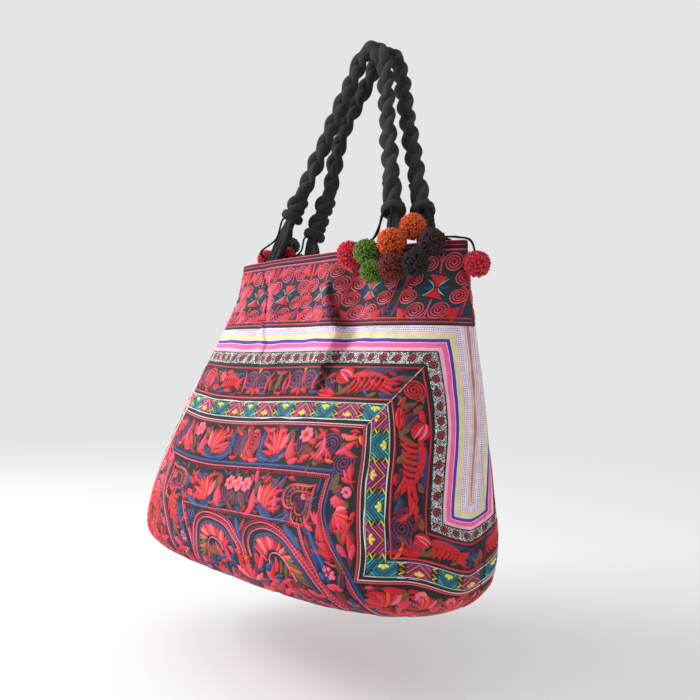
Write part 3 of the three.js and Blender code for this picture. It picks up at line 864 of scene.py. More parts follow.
def panel_cotton():
    # Plain-woven cotton with sewn-on printed ribbons: matt, a faint thread grid, crisp stripe edges
    material, shader, node = start_material("woven_cotton_with_ribbons", Roughness=0.85, Sheen_Weight=0.05)
    edge = node("SeparateXYZ", {0: node("UVMap", uv_map="cloth_lay")})
    fall = edge.node.outputs[1]
    turned = node("SeparateXYZ", {0: node("UVMap", uv_map="cloth_run")})
    off = turned.node.outputs[1]
    place = node("TexCoord", out="Object")
    from_side = node("Math", {0: edge, 1: turned}, operation="MAXIMUM")
    from_side = node("Math", {0: from_side, 1: SIDE_MARGIN}, operation="SUBTRACT")
    inward = node("Math", {0: from_side, 1: fall}, operation="MINIMUM")
    # Hand-sewn edges wander by about a millimetre over 45 mm
    wander = node("TexNoise", {"Vector": place, "Scale": 22.0, "Detail": 1.0})
    inward = node("Math", {0: wander, 1: EDGE_WANDER, 2: inward}, operation="MULTIPLY_ADD")
    inward = node("Math", {0: inward, 1: EDGE_WANDER / 2}, operation="SUBTRACT")
    at_top = node("Math", {0: fall, 1: from_side}, operation="LESS_THAN")
    at_foot = node("Math", {0: turned, 1: edge}, operation="GREATER_THAN")
    along = node("Mix", {0: at_foot, 2: fall, 3: edge})
    along = node("Mix", {0: at_top, 2: along, 3: off})
    span = {0: inward, 1: 1 / BORDER_SPAN, 2: SIDE_MARGIN / BORDER_SPAN}
    bands = node("ValToRGB", {0: node("Math", span, operation="MULTIPLY_ADD")})
    bands.node.color_ramp.interpolation = "CONSTANT"
    set_stops(
        bands.node.color_ramp,
        [((start + SIDE_MARGIN) / BORDER_SPAN, code) for start, code in BORDER_BANDS],
    )
    ribbon = node("CombineXYZ", {0: along, 1: inward})

    # Lattice ribbon: small lozenges, lavender and white
    lozenges = node("Mapping", {0: ribbon, "Rotation": (0, 0, math.radians(45))})
    lattice = node(
        "TexChecker", {0: lozenges, 1: paint("efe8f0"), 2: paint("9b93b4"), "Scale": 1 / LOZENGE}
    )
    on_lattice = node("Math", {0: inward, 1: LATTICE_IN, 2: LATTICE_HALF}, operation="COMPARE")
    colour = node("Mix", {0: on_lattice, 6: bands, 7: lattice}, 2, data_type="RGBA")

    # Floral ribbon: white scrolls of about 2 mm on black, with dark red flowers
    scroll = node("TexNoise", {"Vector": ribbon, "Scale": 0.34, "Detail": 1.5, "Distortion": 1.6})
    scroll = node("Math", {0: scroll, 1: 0.5, 2: 0.045}, operation="COMPARE")
    scrolls = node("Mix", {0: scroll, 6: paint("17161a"), 7: paint("e9e6e2")}, 2, data_type="RGBA")
    beside = node("Math", {0: along, 1: FLOWER_EVERY / 2}, operation="PINGPONG")
    rise = node("Math", {0: inward, 1: FLORAL_IN}, operation="SUBTRACT")
    flower = node("CombineXYZ", {0: beside, 1: rise})
    flower = node("VectorMath", {0: flower}, 1, operation="LENGTH")
    petals = node("ValToRGB", {0: node("Math", {0: flower, 1: 1 / FLOWER_SPAN}, operation="MULTIPLY")})
    petals.node.color_ramp.interpolation = "CONSTANT"
    set_stops(petals.node.color_ramp, FLOWER_RINGS)
    on_flower = node("Math", {0: flower, 1: FLOWER_RADIUS}, operation="LESS_THAN")
    floral = node("Mix", {0: on_flower, 6: scrolls, 7: petals}, 2, data_type="RGBA")
    on_floral = node("Math", {0: inward, 1: FLORAL_IN, 2: FLORAL_HALF}, operation="COMPARE")
    colour = node("Mix", {0: on_floral, 6: colour, 7: floral}, 2, data_type="RGBA")

    # Threads coarser than the real weave so that they show, and slubs of about 8 mm
    slub = node("TexNoise", {"Vector": place, "Scale": 120.0, "Detail": 3.0})
    slub = node("MapRange", {0: slub, 1: 0.3, 2: 0.7, 3: 0.86, 4: 1.08})
    colour = node("Mix", {0: 1.0, 6: colour, 7: slub}, 2, data_type="RGBA", blend_type="MULTIPLY")
    threads = node("CombineXYZ", {0: edge, 1: fall})
    bump = woven_bump(node, threads, THREAD_PITCH, ("X", "Y"), 0.35)
    return finish_material(material, shader, colour, bump)


def plain_cotton(name, ground, patch):
    # Plain-woven dyed cotton: matt, cloudy where the dye took unevenly, a faint thread grid
    material, shader, node = start_material(name, Roughness=0.88, Sheen_Weight=0.05)
    place = node("TexCoord", out="Object")
    # Clouds of about 4 cm, and threads coarser than the real weave so that they show
    dye = node("ValToRGB", {0: node("TexNoise", {"Vector": place, "Scale": 26.0, "Detail": 3.0})})
    set_stops(dye.node.color_ramp, ((0.42, ground), (0.62, patch)))
    bump = woven_bump(node, place, THREAD_PITCH * MM, ("X", "Z"), 0.3)
    return finish_material(material, shader, dye, bump)


def rayon_thread():
    # Rayon embroidery thread laid in raised cords: satin gloss broken by fine stitches
    material, shader, node = start_material(
        "rayon_embroidery_thread", Roughness=0.5, Specular_IOR_Level=0.3
    )
    dyed = node("Attribute", attribute_name="thread_colour")
    lay = node("UVMap", uv_map="thread_lay")
    # Stitches are drawn coarser than real ones so that they show
    stitches = node(
        "TexWave", {0: lay, "Scale": wave_scale(STITCH_PITCH), "Distortion": 0.6}, 1,
        bands_direction="DIAGONAL",
    )
    # Painted shade: the thread's colour is darker in the grooves between stitches
    shade = node("MapRange", {0: stitches, 3: 0.78, 4: 1.06})
    colour = node("Mix", {0: 1.0, 6: dyed, 7: shade}, 2, data_type="RGBA", blend_type="MULTIPLY")
    bump = node("Bump", {"Strength": 0.4, "Distance": FINE_RELIEF, "Height": stitches})
    return finish_material(material, shader, colour, bump)


def cotton_jersey():
    # Black cotton jersey tube: soft and matt, fine knit ribs, greyed where it rubs
    material, shader, node = start_material(
        "black_cotton_jersey", Roughness=0.95, Sheen_Weight=0.12, Sheen_Roughness=0.6,
        Sheen_Tint=paint("8a9096"),
    )
    lay = node("UVMap", uv_map="strand_lay")
    place = node("TexCoord", out="Object")
    # Worn patches of about 1 cm
    dye = node("ValToRGB", {0: node("TexNoise", {"Vector": place, "Scale": 90.0, "Detail": 4.0})})
    set_stops(dye.node.color_ramp, ((0.35, "0f1213"), (0.72, "1c2123")))
    # Knit ribs coarser than real ones so that they show, and drag creases a few millimetres across
    ribs = node(
        "TexWave", {0: lay, "Scale": wave_scale(KNIT_PITCH), "Distortion": 0.8}, 1, bands_direction="Y"
    )
    stretched = node("Mapping", {0: lay, "Scale": (0.05, 0.22, 1)})
    creases = node("TexNoise", {"Vector": stretched, "Scale": 1.0, "Detail": 2.0})
    fine = node("Bump", {"Strength": 0.25, "Distance": FINE_RELIEF, "Height": ribs})
    bump = node("Bump", {"Strength": 0.6, "Distance": 0.002, "Height": creases, "Normal": fine})
    return finish_material(material, shader, dye, bump)


def cotton_string():
    # Twisted black cotton string: matt, two plies, a little lint of about 2 mm
    material, shader, node = start_material(
        "twisted_cotton_string", Roughness=0.95, Specular_IOR_Level=0.2
    )
    place = node("TexCoord", out="Object")
    lint = node("TexNoise", {"Vector": place, "Scale": 600.0, "Detail": 2.0})
    dye = node("ValToRGB", {0: lint})
    set_stops(dye.node.color_ramp, ((0.0, "08090a"), (1.0, "141618")))
    bump = node("Bump", {"Strength": 0.4, "Distance": FINE_RELIEF, "Height": lint})
    return finish_material(material, shader, dye, bump)


def clipped_wool():
    # Clipped wool yarn: very matt and fuzzy, each end a little lighter or darker at random. Its colour
    # attribute also holds painted shade, deep between ends, and painted highlights at their tips.
    material, shader, node = start_material(
        "clipped_wool_yarn", Roughness=1.0, Sheen_Weight=0.1, Sheen_Roughness=0.5
    )
    dyed = node("Attribute", attribute_name="wool_colour_and_painted_shade")
    place = node("TexCoord", out="Object")
    # Fuzz of about 1 mm
    fuzz = node("TexNoise", {"Vector": place, "Scale": 900.0, "Detail": 2.0})
    shade = node("MapRange", {0: fuzz, 1: 0.3, 2: 0.7, 3: 0.8, 4: 1.15})
    colour = node("Mix", {0: 1.0, 6: dyed, 7: shade}, 2, data_type="RGBA", blend_type="MULTIPLY")
    bump = node("Bump", {"Strength": 0.5, "Distance": 0.0006, "Height": fuzz})
    return finish_material(material, shader, colour, bump)


PANEL_COTTON = panel_cotton()
TOP_COTTON = plain_cotton("dark_green_cotton", "132b24", "182548")
BINDING_COTTON = plain_cotton("navy_cotton_tape", "0c0d1a", "131426")
LINING_COTTON = plain_cotton("black_lining_cotton", "1a1a1d", "26262b")
RAYON = rayon_thread()
JERSEY = cotton_jersey()
STRING_COTTON = cotton_string()
WOOL = clipped_wool()


# Cloth walls: a fine sheet for each side, given its thickness inwards and a black lining
def cloth_sheet(name, side, first, last, rows, material):
    columns = CLOTH_COLUMNS[side]
    fall = np.repeat(np.linspace(first, last, rows), columns)
    off = np.tile(np.linspace(-1, 1, columns), rows) * half_round(side, fall)
    points = cloth_point(side, turn_at(side, off, fall), fall + SEAM_DOWN)
    faces = grid_faces(rows, columns, flip=side == "front")
    piece = make_piece(name, points, faces, [material, LINING_COTTON])
    drawn = fall
    for _ in range(SAG_PASSES):
        drawn = fall - sag(side, off, drawn)
    edge = mirrored(own_half(side, drawn) - np.abs(off))
    lay_map(piece, "cloth_lay", np.stack([edge, drawn], 1))
    lay_map(piece, "cloth_run", np.stack([turned_edge(edge, drawn), off], 1))
    flat_x = off / BAKE_HALF_WIDTH * (0.5 - BAKE_MARGIN) + 0.5
    flat_y = (fall - first) / (last - first) * (0.5 - 2 * BAKE_MARGIN) + BAKE_MARGIN
    lay_map(piece, "OFBake", np.stack([flat_x, flat_y], 1))
    finish_with(
        piece, "SOLIDIFY", thickness=WALL * MM, offset=-1, material_offset=1, material_offset_rim=1
    )
    lift_lining(piece)
    return piece


def lift_lining(piece):
    # The lining's faces take the upper half of the bake map
    slots = np.empty(len(piece.data.polygons), np.int32)
    piece.data.polygons.foreach_get("material_index", slots)
    layer = piece.data.uv_layers["OFBake"]
    flat = np.empty(len(piece.data.loops) * 2, np.float32)
    layer.uv.foreach_get("vector", flat)
    flat = flat.reshape(-1, 2)
    flat[np.repeat(slots == 1, 4), 1] += 0.5
    layer.uv.foreach_set("vector", flat.ravel())


def mouth_tape(side):
    rim = np.full(TAPE_COLUMNS, -SEAM_DOWN)
    turns = turn_at(side, np.linspace(-1, 1, TAPE_COLUMNS) * half_round(side, rim), rim)
    rows = []
    for fall, inset in TAPE_SECTION:
        down = np.full(TAPE_COLUMNS, max(fall, 0.0))
        row = cloth_point(side, turns, down) - cloth_normal(side, turns, down) * inset
        row[:, 2] -= min(fall, 0.0)
        rows.append(row)
    rows.append(rows[0])
    faces = grid_faces(len(rows), TAPE_COLUMNS, flip=side == "back")
    piece = make_piece(f"mouth_tape_{side}", np.concatenate(rows), faces, [BINDING_COTTON])
    finish_with(piece, "WELD", merge_threshold=WELD_DISTANCE)
    settle(piece, "binding_cloth", f"mouth_binding_{side}")


# Embroidery: raised cords of thread, drawn flat on the cloth and then laid over its folds
STITCHES = {}
SEWN = np.zeros(SEWN_SIZE, bool)
RNG = np.random.default_rng(EMBROIDERY_SEED)


def dye(thread):
    shade = RNG.uniform(*THREAD_SHADES)
    return np.clip(np.array(linear(THREADS[thread])) * shade, 0, 1)


def sewn_cells(chart):
    cells = (chart + np.array(SEWN_MIDDLE)).astype(int)
    return tuple(np.clip(cells, 0, np.array(SEWN_SIZE) - 1).T)


def mark_sewn(chart, width):
    steps = np.gradient(chart, axis=0)
    across = unit(np.stack([-steps[:, 1], steps[:, 0]], 1))
    for share in np.linspace(-0.5, 0.5, 5):
        SEWN[sewn_cells(chart + across * (width * share)[:, None])] = True


# Drawn lines
def line_path(points, step=4.0):
    points = np.asarray(points, float)
    run = run_along(points)
    even = np.unique(np.concatenate([np.linspace(0, run[-1], max(2, int(run[-1] / step) + 1)), run]))
    return np.stack([np.interp(even, run, column) for column in points.T], 1)


def spiral_path(x, y, rx, ry, turns, start, hand):
    t = np.linspace(0, 1, int(turns * COIL_STEPS))
    angle = math.radians(start) + hand * 2 * np.pi * turns * t
    reach = 1 - COIL_FILL * t
    return np.stack([x + rx * reach * np.cos(angle), y + ry * reach * np.sin(angle)], 1)


def bow_path(x0, y0, x1, y1, bow, count=8):
    t = np.linspace(0, 1, count)
    mid_x = (x0 + x1) / 2 - bow * (y1 - y0)
    mid_y = (y0 + y1) / 2 + bow * (x1 - x0)
    x = (1 - t) ** 2 * x0 + 2 * t * (1 - t) * mid_x + t ** 2 * x1
    y = (1 - t) ** 2 * y0 + 2 * t * (1 - t) * mid_y + t ** 2 * y1
    return np.stack([x, y], 1)


def ring_path(x, y, rx, ry, count):
    angle = np.radians(np.linspace(0, 360, count))
    return np.stack([x + rx * np.cos(angle), y + ry * np.sin(angle)], 1)


def turned_path(path, turn, size, flip):
    angle = math.radians(turn)
    x = path[:, 0] * size * flip
    y = path[:, 1] * size
    return x * math.cos(angle) - y * math.sin(angle), x * math.sin(angle) + y * math.cos(angle)


class Needle:
    """Sews drawn shapes into one zone of embroidery, each at a place on the cloth."""

    def __init__(self, zone, place=np.asarray):
        self.zone = zone
        self.place = place

    def stitch(self, path, width, thread, height=0.9, taper=0.3, across=3):
        # One raised thread: every other shape is made of these
        chart = self.place(np.asarray(path, float))
        if len(chart) < 2:
            return
        width = np.asarray(width, float)
        width = width[:len(chart)].copy() if width.ndim else np.full(len(chart), float(width))
        if taper < 1:
            width[[0, -1]] *= taper
        mark_sewn(chart, width)
        STITCHES.setdefault(self.zone, []).append((across, chart, width, height, dye(thread)))

    def petal(self, x0, y0, x1, y1, bow, width, thread, height=1.0, blunt=0.8):
        path = bow_path(x0, y0, x1, y1, bow)
        t = np.linspace(0, 1, len(path))
        swell = np.sin(np.pi * t ** blunt) ** PETAL_ROUND * (1 - PETAL_TIP) + PETAL_TIP
        self.stitch(path, width * swell, thread, height, taper=1, across=5 if width > WIDE_PETAL else 3)

    def plume(self, x0, y0, x1, y1, bow, width, threads, strips=3):
        # A leaf sewn in side-by-side rows of thread
        length = math.hypot(x1 - x0, y1 - y0)
        ux, uy = (x1 - x0) / length, (y1 - y0) / length
        for i in range(strips):
            shift = (i - (strips - 1) / 2) / strips
            root = (x0 - uy * shift * width * PLUME_ROOT, y0 + ux * shift * width * PLUME_ROOT)
            lean = bow + shift * PLUME_BOW * width / length
            self.petal(*root, x1, y1, lean, width / strips * PLUME_OVERLAP, threads[i % len(threads)])

    def fan(self, first, last, count, reach, bow, width, threads):
        for i, angle in enumerate(np.radians(np.linspace(first, last, count))):
            far = reach * (FAN_OUTER + FAN_MIDDLE * math.sin(math.pi * i / (count - 1)))
            tip = (far * math.cos(angle), far * math.sin(angle))
            self.petal(0, 0, *tip, bow, width, threads[i % len(threads)])

    def spiral(self, x, y, rx, ry, turns, thread, start, hand):
        pitch = (rx + ry) / 2 * COIL_FILL / turns
        outer = spiral_path(x, y, rx, ry, turns, start, hand)
        self.stitch(outer, pitch * COIL_THREAD, thread, 0.8, taper=0.7)
        inner = spiral_path(x, y, rx - COIL_PLY_IN, ry - COIL_PLY_IN, turns, start, hand)
        self.stitch(inner, pitch * COIL_PLY, COIL_PLIES[thread], 1.2, taper=0.7)

    def cord_spiral(self, x, y, r, start, hand):
        # A twisted two-colour cord coiled flat: a red ply with a pink one on its outside
        inner = spiral_path(x, y, r, r, CORD_COIL_TURNS, start, hand)
        self.stitch(inner, 2.0, "red", 0.6, taper=0.6)
        r = r + CORD_COIL_PLY_OUT
        outer = spiral_path(x, y, r, r, CORD_COIL_TURNS, start, hand)
        self.stitch(outer, 1.0, "pink", 1.2, taper=0.6)

    def cord_line(self, points, thread, width):
        path = line_path(points)
        self.stitch(path, width, thread, 0.8, taper=0.9)
        self.stitch(path + np.array([0.0, 0.3]), width * 0.5, "pink", 1.2, taper=0.9)

    def ticked_line(self, points, band=3.0):
        # A corded line over a red band crossed by dark ticks
        path = line_path(points, 3.0)
        steps = unit(np.gradient(path, axis=0))
        side = np.stack([-steps[:, 1], steps[:, 0]], 1)
        self.stitch(path, 1.5, "pink", 1.2, taper=0.8)
        self.stitch(path - side * (band / 2 + 0.8), band, "rose", 0.6, taper=0.9)
        run = run_along(path)
        for at in np.arange(TICK_EVERY, run[-1], TICK_EVERY):
            x, y = [np.interp(at, run, column) for column in path.T]
            nx, ny = [np.interp(at, run, column) for column in side.T]
            tick = [(x - nx * far, y - ny * far) for far in (1.2, band + 0.4)]
            self.stitch(tick, 1.2, "black", 1.7, taper=0.8)

    def triangle(self, x, y, base, tall, thread, turn=0):
        # Apex at x, y, the base below it
        shares = np.array([0, 0.33, 0.66, 1])
        along, rise = turned_path(np.stack([0 * shares, -tall * shares], 1), turn, 1, 1)
        widths = base * np.array([0.08, 0.36, 0.7, 1.0])
        self.stitch(np.stack([x + along, y + rise], 1), widths, thread, 0.9, taper=1, across=5)

    def rosette(self, x, y, r, thread, heart):
        for i in range(ROSETTE_PETALS):
            angle = 2 * math.pi * i / ROSETTE_PETALS
            root = (x + 0.2 * r * math.cos(angle), y + 0.2 * r * math.sin(angle))
            tip = (x + r * math.cos(angle), y + r * math.sin(angle))
            self.petal(*root, *tip, 0.1, r * 0.8, thread, 1.0, 1.3)
        self.stitch(spiral_path(x, y, r * 0.36, r * 0.36, 1.6, 0, 1), r * 0.22, heart, 1.5)


# Ways to place a drawing: in the flat, down a side border, along the foot, or on the leaning field
def in_flat(zone, off, fall, turn=0, size=1, flip=1):
    def place(path):
        x, y = turned_path(path, turn, size, flip)
        return np.stack([off + x, fall - y], 1)
    return Needle(zone, place)


def down_side(zone, side, hand, along, inward, size=1, flip=1):
    def place(path):
        x, y = turned_path(path, 0, size, flip)
        fall = along + x
        edge = inward - y + SIDE_MARGIN
        return np.stack([hand * (own_half(side, fall) - edge), fall], 1)
    return Needle(zone, place)


def along_foot(zone, side, hand, edge, inward, size=1):
    def place(path):
        x, y = turned_path(path, 0, size, 1)
        from_seam = np.maximum(edge - x, least_edge(side))
        fall = turned_fall(inward - y + SIDE_MARGIN, mirrored(from_seam))
        return np.stack([hand * (own_half(side, fall) - from_seam), fall], 1)
    return Needle(zone, place)


def on_field(zone, side, narrow, off, fall, **more):
    flat = in_flat(zone, FIELD_MIDDLE * narrow + off * narrow, fall, **more)
    return Needle(zone, lambda path: leaning(side, flat.place(path)))


# Motifs
def red_coil(needle):
    needle.spiral(0, 0, 16, 14, 3.4, "red", 30, 1)


def spiral_pair(needle):
    # Two purple coils over a red foot, a gold wedge between their tops
    needle.spiral(-13.5, 2.5, 13, 12.5, 2.6, "purple", -60, 1)
    needle.spiral(13.5, 2.5, 13, 12.5, 2.6, "purple", 240, -1)
    needle.triangle(0, 10, 7, 6, "gold", turn=180)
    needle.petal(0, -6, 0, -15.5, 0, 7, "red", 1.2, 1.2)
    for hand in HANDS:
        needle.petal(0, -8, hand * 13, -13, hand * 0.3, 7.5, "red", 1.1, 1.2)
    for hand in HANDS:
        needle.petal(hand * 23, -14, hand * 30, 14, hand * 0.3, 4.4, "rose")
        needle.petal(hand * 19, -15, hand * 27, -6, hand * 0.3, 4, "maroon")


def brown_plumes(needle):
    for hand in HANDS:
        for i, thread in enumerate(("brown", "olive", "maroon", "brown")):
            tip = (hand * (3 + 1.9 * i), -14 + 1.2 * i)
            needle.petal(hand * 1.2, 15 - 2.6 * i, *tip, -hand * 0.3, 3.6, thread)
    needle.petal(0, 15, 0, -15, 0, 3, "gold")


def bird(needle):
    # Head at the left, comb-like feathers below the back, tail at the right
    needle.petal(-21, 6, 30, 3, 0.22, 9.5, "red", 1.0, 0.72)
    for i in range(7):
        x = -16 + 6.2 * i
        tip = (x - 7 + 0.8 * i, -14 + 0.9 * i)
        needle.petal(x + 3, 9 - 0.9 * abs(i - 2), *tip, 0.34, 5.0, "red", 1.2, 0.75)
    for i in range(3):
        needle.petal(22, 3 - 2 * i, 42 - 2 * i, 9 - 9 * i, -0.2 + 0.12 * i, 5.4, "red", 1.1, 0.9)
    needle.petal(18, -6, 38, -15, 0.16, 4.6, "red")
    needle.plume(-36, 13, -17, 4, 0.34, 12, ("red", "pink", "red"))
    needle.plume(-36, 12, -19, 0, -0.3, 11, ("red", "red", "pink"))
    for i, thread in enumerate(("brown", "olive", "brown", "maroon", "brown")):
        needle.petal(-14 - i, 3 - 1.5 * i, -33 + 5 * i, -15, 0.26, 4, thread)
    needle.plume(-46, 6, -33, -7, -0.24, 12, ("purple", "plum", "purple"))
    needle.petal(-54, -12, -29, -14, 0.3, 8, "red", 1.1, 1.1)
    needle.petal(-54, -12, -29, -14, -0.2, 5, "red", 1.1, 1.1)
    needle.stitch(ring_path(-43, -9.4, 2.6, 2.0, 10), 1.4, "black", 1.6)
    needle.stitch(ring_path(-43, -9.4, 0.9, 0.7, 6), 1.0, "pink", 1.7)
    needle.petal(-56, 13, -44, 1, -0.15, 6, "brown")
    needle.petal(-56, 0, -46, -9, 0.1, 5, "maroon")
    needle.petal(-8, 14.5, 34, 9.5, 0.12, 5.0, "navy", 0.7)
    needle.petal(6, 15, 44, 14, 0.04, 3.4, "navy", 0.7)


def small_bird(needle):
    # A bird of the inner borders, its fan of feathers to the left and its flower to the right
    for i, thread in enumerate(("rose", "red", "orange", "red", "rose", "pink")):
        tip = (-15 + 5.6 * i, 16 - 1.4 * abs(i - 2))
        needle.petal(-1 + 1.6 * i, -14 + 1.2 * i, *tip, -0.22 + 0.03 * i, 7.2, thread, 1.1)
    for i, thread in enumerate(("red", "rose", "red")):
        needle.petal(-2, -6 - 3 * i, -25 + i, 9 - 9 * i, -0.24 + 0.16 * i, 6.6, thread)
    needle.plume(15, 16, 20, -3, 0.12, 10, BROWN_ROWS)
    needle.petal(22, 8, 24, -18, -0.12, 13, "rose", 1.2, 1.5)
    needle.plume(29, 7, 36, -12, 0.1, 12, ("purple", "plum", "purple"))
    needle.rosette(37, 10, 9, "pink", "orange")
    needle.plume(36, -16, 47, 2, 0.1, 11, ("brown", "maroon", "brown"))


def field_bird(needle):
    # A bird with a long barred body, its tail up and its head down
    needle.petal(3, 24, -2, -12, 0.1, 15, "red", 1.0, 0.9)
    for i in range(6):
        needle.petal(-7, 10 - 4 * i, 7, 8 - 4 * i, -0.35, 2.6, "rose" if i % 2 else "maroon", 1.5)
    for i in range(3):
        needle.petal(2, 20, -5 + 5 * i, 34, 0.1, 4.2, "rose")
    needle.plume(8, -6, 2, -22, 0.3, 11, ("brown", "olive", "brown", "maroon"), 4)
    needle.rosette(-9, -20, 6, "pink", "rose")
    needle.plume(4, -20, -4, -32, 0.1, 9, ("purple", "plum"), 2)


def navy_leaves(needle):
    needle.plume(-24, 0, 0, -9, -0.32, 11, NAVY_ROWS)
    needle.plume(1, -9, 24, 4, -0.28, 11, ("blue", "navy", "navy"))
    needle.petal(-10, -11, 12, -13, 0.1, 5, "navy")


def heart(needle, r):
    t = np.linspace(0, 2 * np.pi, 54)
    across = 16 * np.sin(t) ** 3 / 16
    rise = (13 * np.cos(t) - 5 * np.cos(2 * t) - 2 * np.cos(3 * t) - np.cos(4 * t)) / 16

    def outline(share):
        return np.stack([across * r * share, (rise + 0.06) * r * share], 1)
    needle.stitch(outline(1.0), 1.9, "rose", 1.1, taper=1)
    needle.stitch(outline(0.92), 1.2, "pink", 1.3, taper=1)
    needle.stitch(outline(0.74), 5.2, "brown", 0.6, taper=1, across=5)
    outer = outline(0.85)
    inner = outline(0.63)
    for i in range(0, len(outer) - 1, 2):
        needle.stitch([outer[i], inner[i]], 1.3, "black", 1.9, taper=0.8)
    needle.stitch(outline(0.56), 2.0, "rose", 1.2, taper=1)
    for hand in HANDS:
        needle.spiral(hand * r * 0.2, r * 0.16, r * 0.19, r * 0.19, 2.2, "purple", 90, hand)
        needle.petal(0, -r * 0.1, hand * r * 0.14, -r * 0.28, 0.2, 4, "pink")
    needle.petal(0, -r * 0.02, 0, -r * 0.42, 0, 4, "rose")


def lobe(needle):
    # Right half of a peacock's tail: ticked cords outside, a navy round, a ring of flames and a leaf
    outline = smooth_path(LOBE_LINE, 60)
    middle = np.array(LOBE_HEART, float)

    def inset(share):
        return middle + (outline - middle) * share
    needle.ticked_line(inset(1.0)[::-1])
    needle.ticked_line(inset(0.85)[::-1], 2.6)
    needle.stitch(inset(0.7), 4.6, "navy", 0.7, taper=1, across=5)
    tips = inset(0.69)
    roots = inset(0.34)
    for i in range(LOBE_FLAMES):
        share = i / (LOBE_FLAMES - 1)
        at = int(6 + 46 * share)
        threads = FLAME_THREADS if share < FLAME_CHANGE else DARK_FLAME_THREADS
        needle.petal(*roots[max(at - 5, 0)], *tips[at], -0.16, 5.4, threads[i % len(threads)], 1.2)
    needle.stitch(inset(0.36), 2.2, "navy", 1.0, taper=1)
    needle.stitch(inset(0.28), 1.6, "pink", 1.3, taper=1)
    for i, thread in enumerate(("rose", "brown", "olive", "red")):
        needle.petal(middle[0] - 11 + 6 * i, -16, middle[0] - 4 + 6 * i, -2 - 2 * i, -0.2, 5.4, thread)


# The chevron ribbon
def ribbon_block(needle, kind):
    ground, threads, up = RIBBON_KINDS[kind]
    half = RIBBON_BLOCK / 2
    needle.stitch(line_path([(-half, 0), (half, 0)], 3), 2 * RIBBON_HALF, ground, 0.25, taper=1, across=5)
    for i in range(CHEVRONS):
        peak = RIBBON_HALF + CHEVRON_FIRST - CHEVRON_STEP * i
        foot = up * (peak - CHEVRON_SLOPE * half)
        path = line_path([(-half, foot), (0, up * peak), (half, foot)], 1.5)
        keep = np.flatnonzero(np.abs(path[:, 1]) <= RIBBON_HALF)
        for part in np.split(keep, np.flatnonzero(np.diff(keep) > 1) + 1):
            if len(part) > 1:
                needle.stitch(path[part], 2.0, threads[i % len(threads)], 1.0, taper=0.8)
    foot = -up * RIBBON_HALF * 0.72
    for angle in RIBBON_PETAL_ANGLES:
        lean = math.radians(90 * up + angle)
        tip = (RIBBON_PETAL * math.cos(lean), foot + RIBBON_PETAL * math.sin(lean))
        needle.petal(0, foot, *tip, 0, 3.6, "yellow", 1.7, 1.2)


def ribbon_bar(needle):
    needle.stitch([(0, -RIBBON_HALF), (0, 0), (0, RIBBON_HALF)], RIBBON_BAR, "black", 0.2, taper=1)
    for i, thread in enumerate(BAR_THREADS):
        y = -7.2 + 2.9 * i
        lean = 1.7 if i % 2 else -1.7
        needle.stitch([(-3, y - lean), (0, y), (3, y + lean)], 1.8, thread, 1.0, taper=0.7)


def ribbon_run(side, run, needle_at, first, last, start_kind):
    # One run of the ribbon, cut off where the next run of the border begins
    count = max(1, int(round((last - first) / (RIBBON_BLOCK + RIBBON_BAR))))

    def clipped(at):
        needle = needle_at(at)

        def place(path):
            chart = needle.place(path)
            return chart[run_of(side, chart) == run]
        return Needle(needle.zone, place)
    for i in range(count):
        at = first + (i + 0.5) * (last - first) / count
        ribbon_block(clipped(at), (start_kind + i) % 2)
        if i < count - 1:
            ribbon_bar(clipped(at + (last - first) / count / 2))


def chevron_ribbon(side):
    zone = f"chevron_ribbon_{side}"
    corner = float(own_half(side, RIBBON_IN)) - SIDE_MARGIN - RIBBON_IN + RIBBON_OVERRUN
    ribbon_run(side, TOP_RUN, lambda at: in_flat(zone, at, RIBBON_IN), -corner, corner, 0)
    for hand in HANDS:
        ribbon_run(
            side, SIDE_RUN, lambda at: down_side(zone, side, hand, at, RIBBON_IN),
            RIBBON_IN - RIBBON_OVERRUN, RIBBON_SIDE_END, 0,
        )
        ribbon_run(
            side, FOOT_RUN, lambda at: along_foot(zone, side, hand, RIBBON_FOOT_START - at, RIBBON_IN),
            0, RIBBON_FOOT_START - least_edge(side), 1,
        )


# Lines that follow the border round its mitred corners, and the frame of the field
def border_path(side, hand, inward):
    edge = inward + SIDE_MARGIN
    corner_off = float(own_half(side, inward)) - edge
    fall_turn = float(turned_fall(edge, edge))
    points = [(0.0, inward), (hand * corner_off, inward)]
    for fall in np.arange(inward + 6, max(fall_turn, inward + 7), 6):
        points.append((hand * (float(own_half(side, fall)) - edge), fall))
    for from_seam in np.linspace(edge, least_edge(side), MITRE_POINTS):
        fall = float(turned_fall(edge, mirrored(from_seam)))
        points.append((hand * (float(own_half(side, fall)) - from_seam), fall))
    return line_path(points)


def field_frame(side, hand, grow):
    half = FIRST_FRAME[side] + grow
    top = FIRST_FRAME_TOP - grow
    return leaning(side, line_path([(0, top), (hand * half, top), (hand * half, FIRST_FRAME_FOOT)], 3.0))


def border_cords(side):
    needle = Needle(f"border_cords_{side}")
    for inward, thread, ply, width in BORDER_CORDS:
        for hand in HANDS:
            needle.stitch(border_path(side, hand, inward), width, thread, 0.8, taper=0.9)
            needle.stitch(border_path(side, hand, inward + 0.35), width * 0.45, ply, 1.2, taper=0.9)
    for hand in HANDS:
        needle.stitch(field_frame(side, hand, 4.2), 4.0, "navy", 0.8, taper=0.9, across=5)
        needle.stitch(field_frame(side, hand, 4.6), 1.4, "blue", 1.1, taper=0.9)
        needle.ticked_line(field_frame(side, hand, 0)[::-hand])
        inward = np.linspace(*MITRE_SEAM, MITRE_POINTS)
        mitre = np.stack([hand * (own_half(side, inward) - inward - SIDE_MARGIN), inward], 1)
        needle.stitch(mitre, 1.2, "white", 1.2)


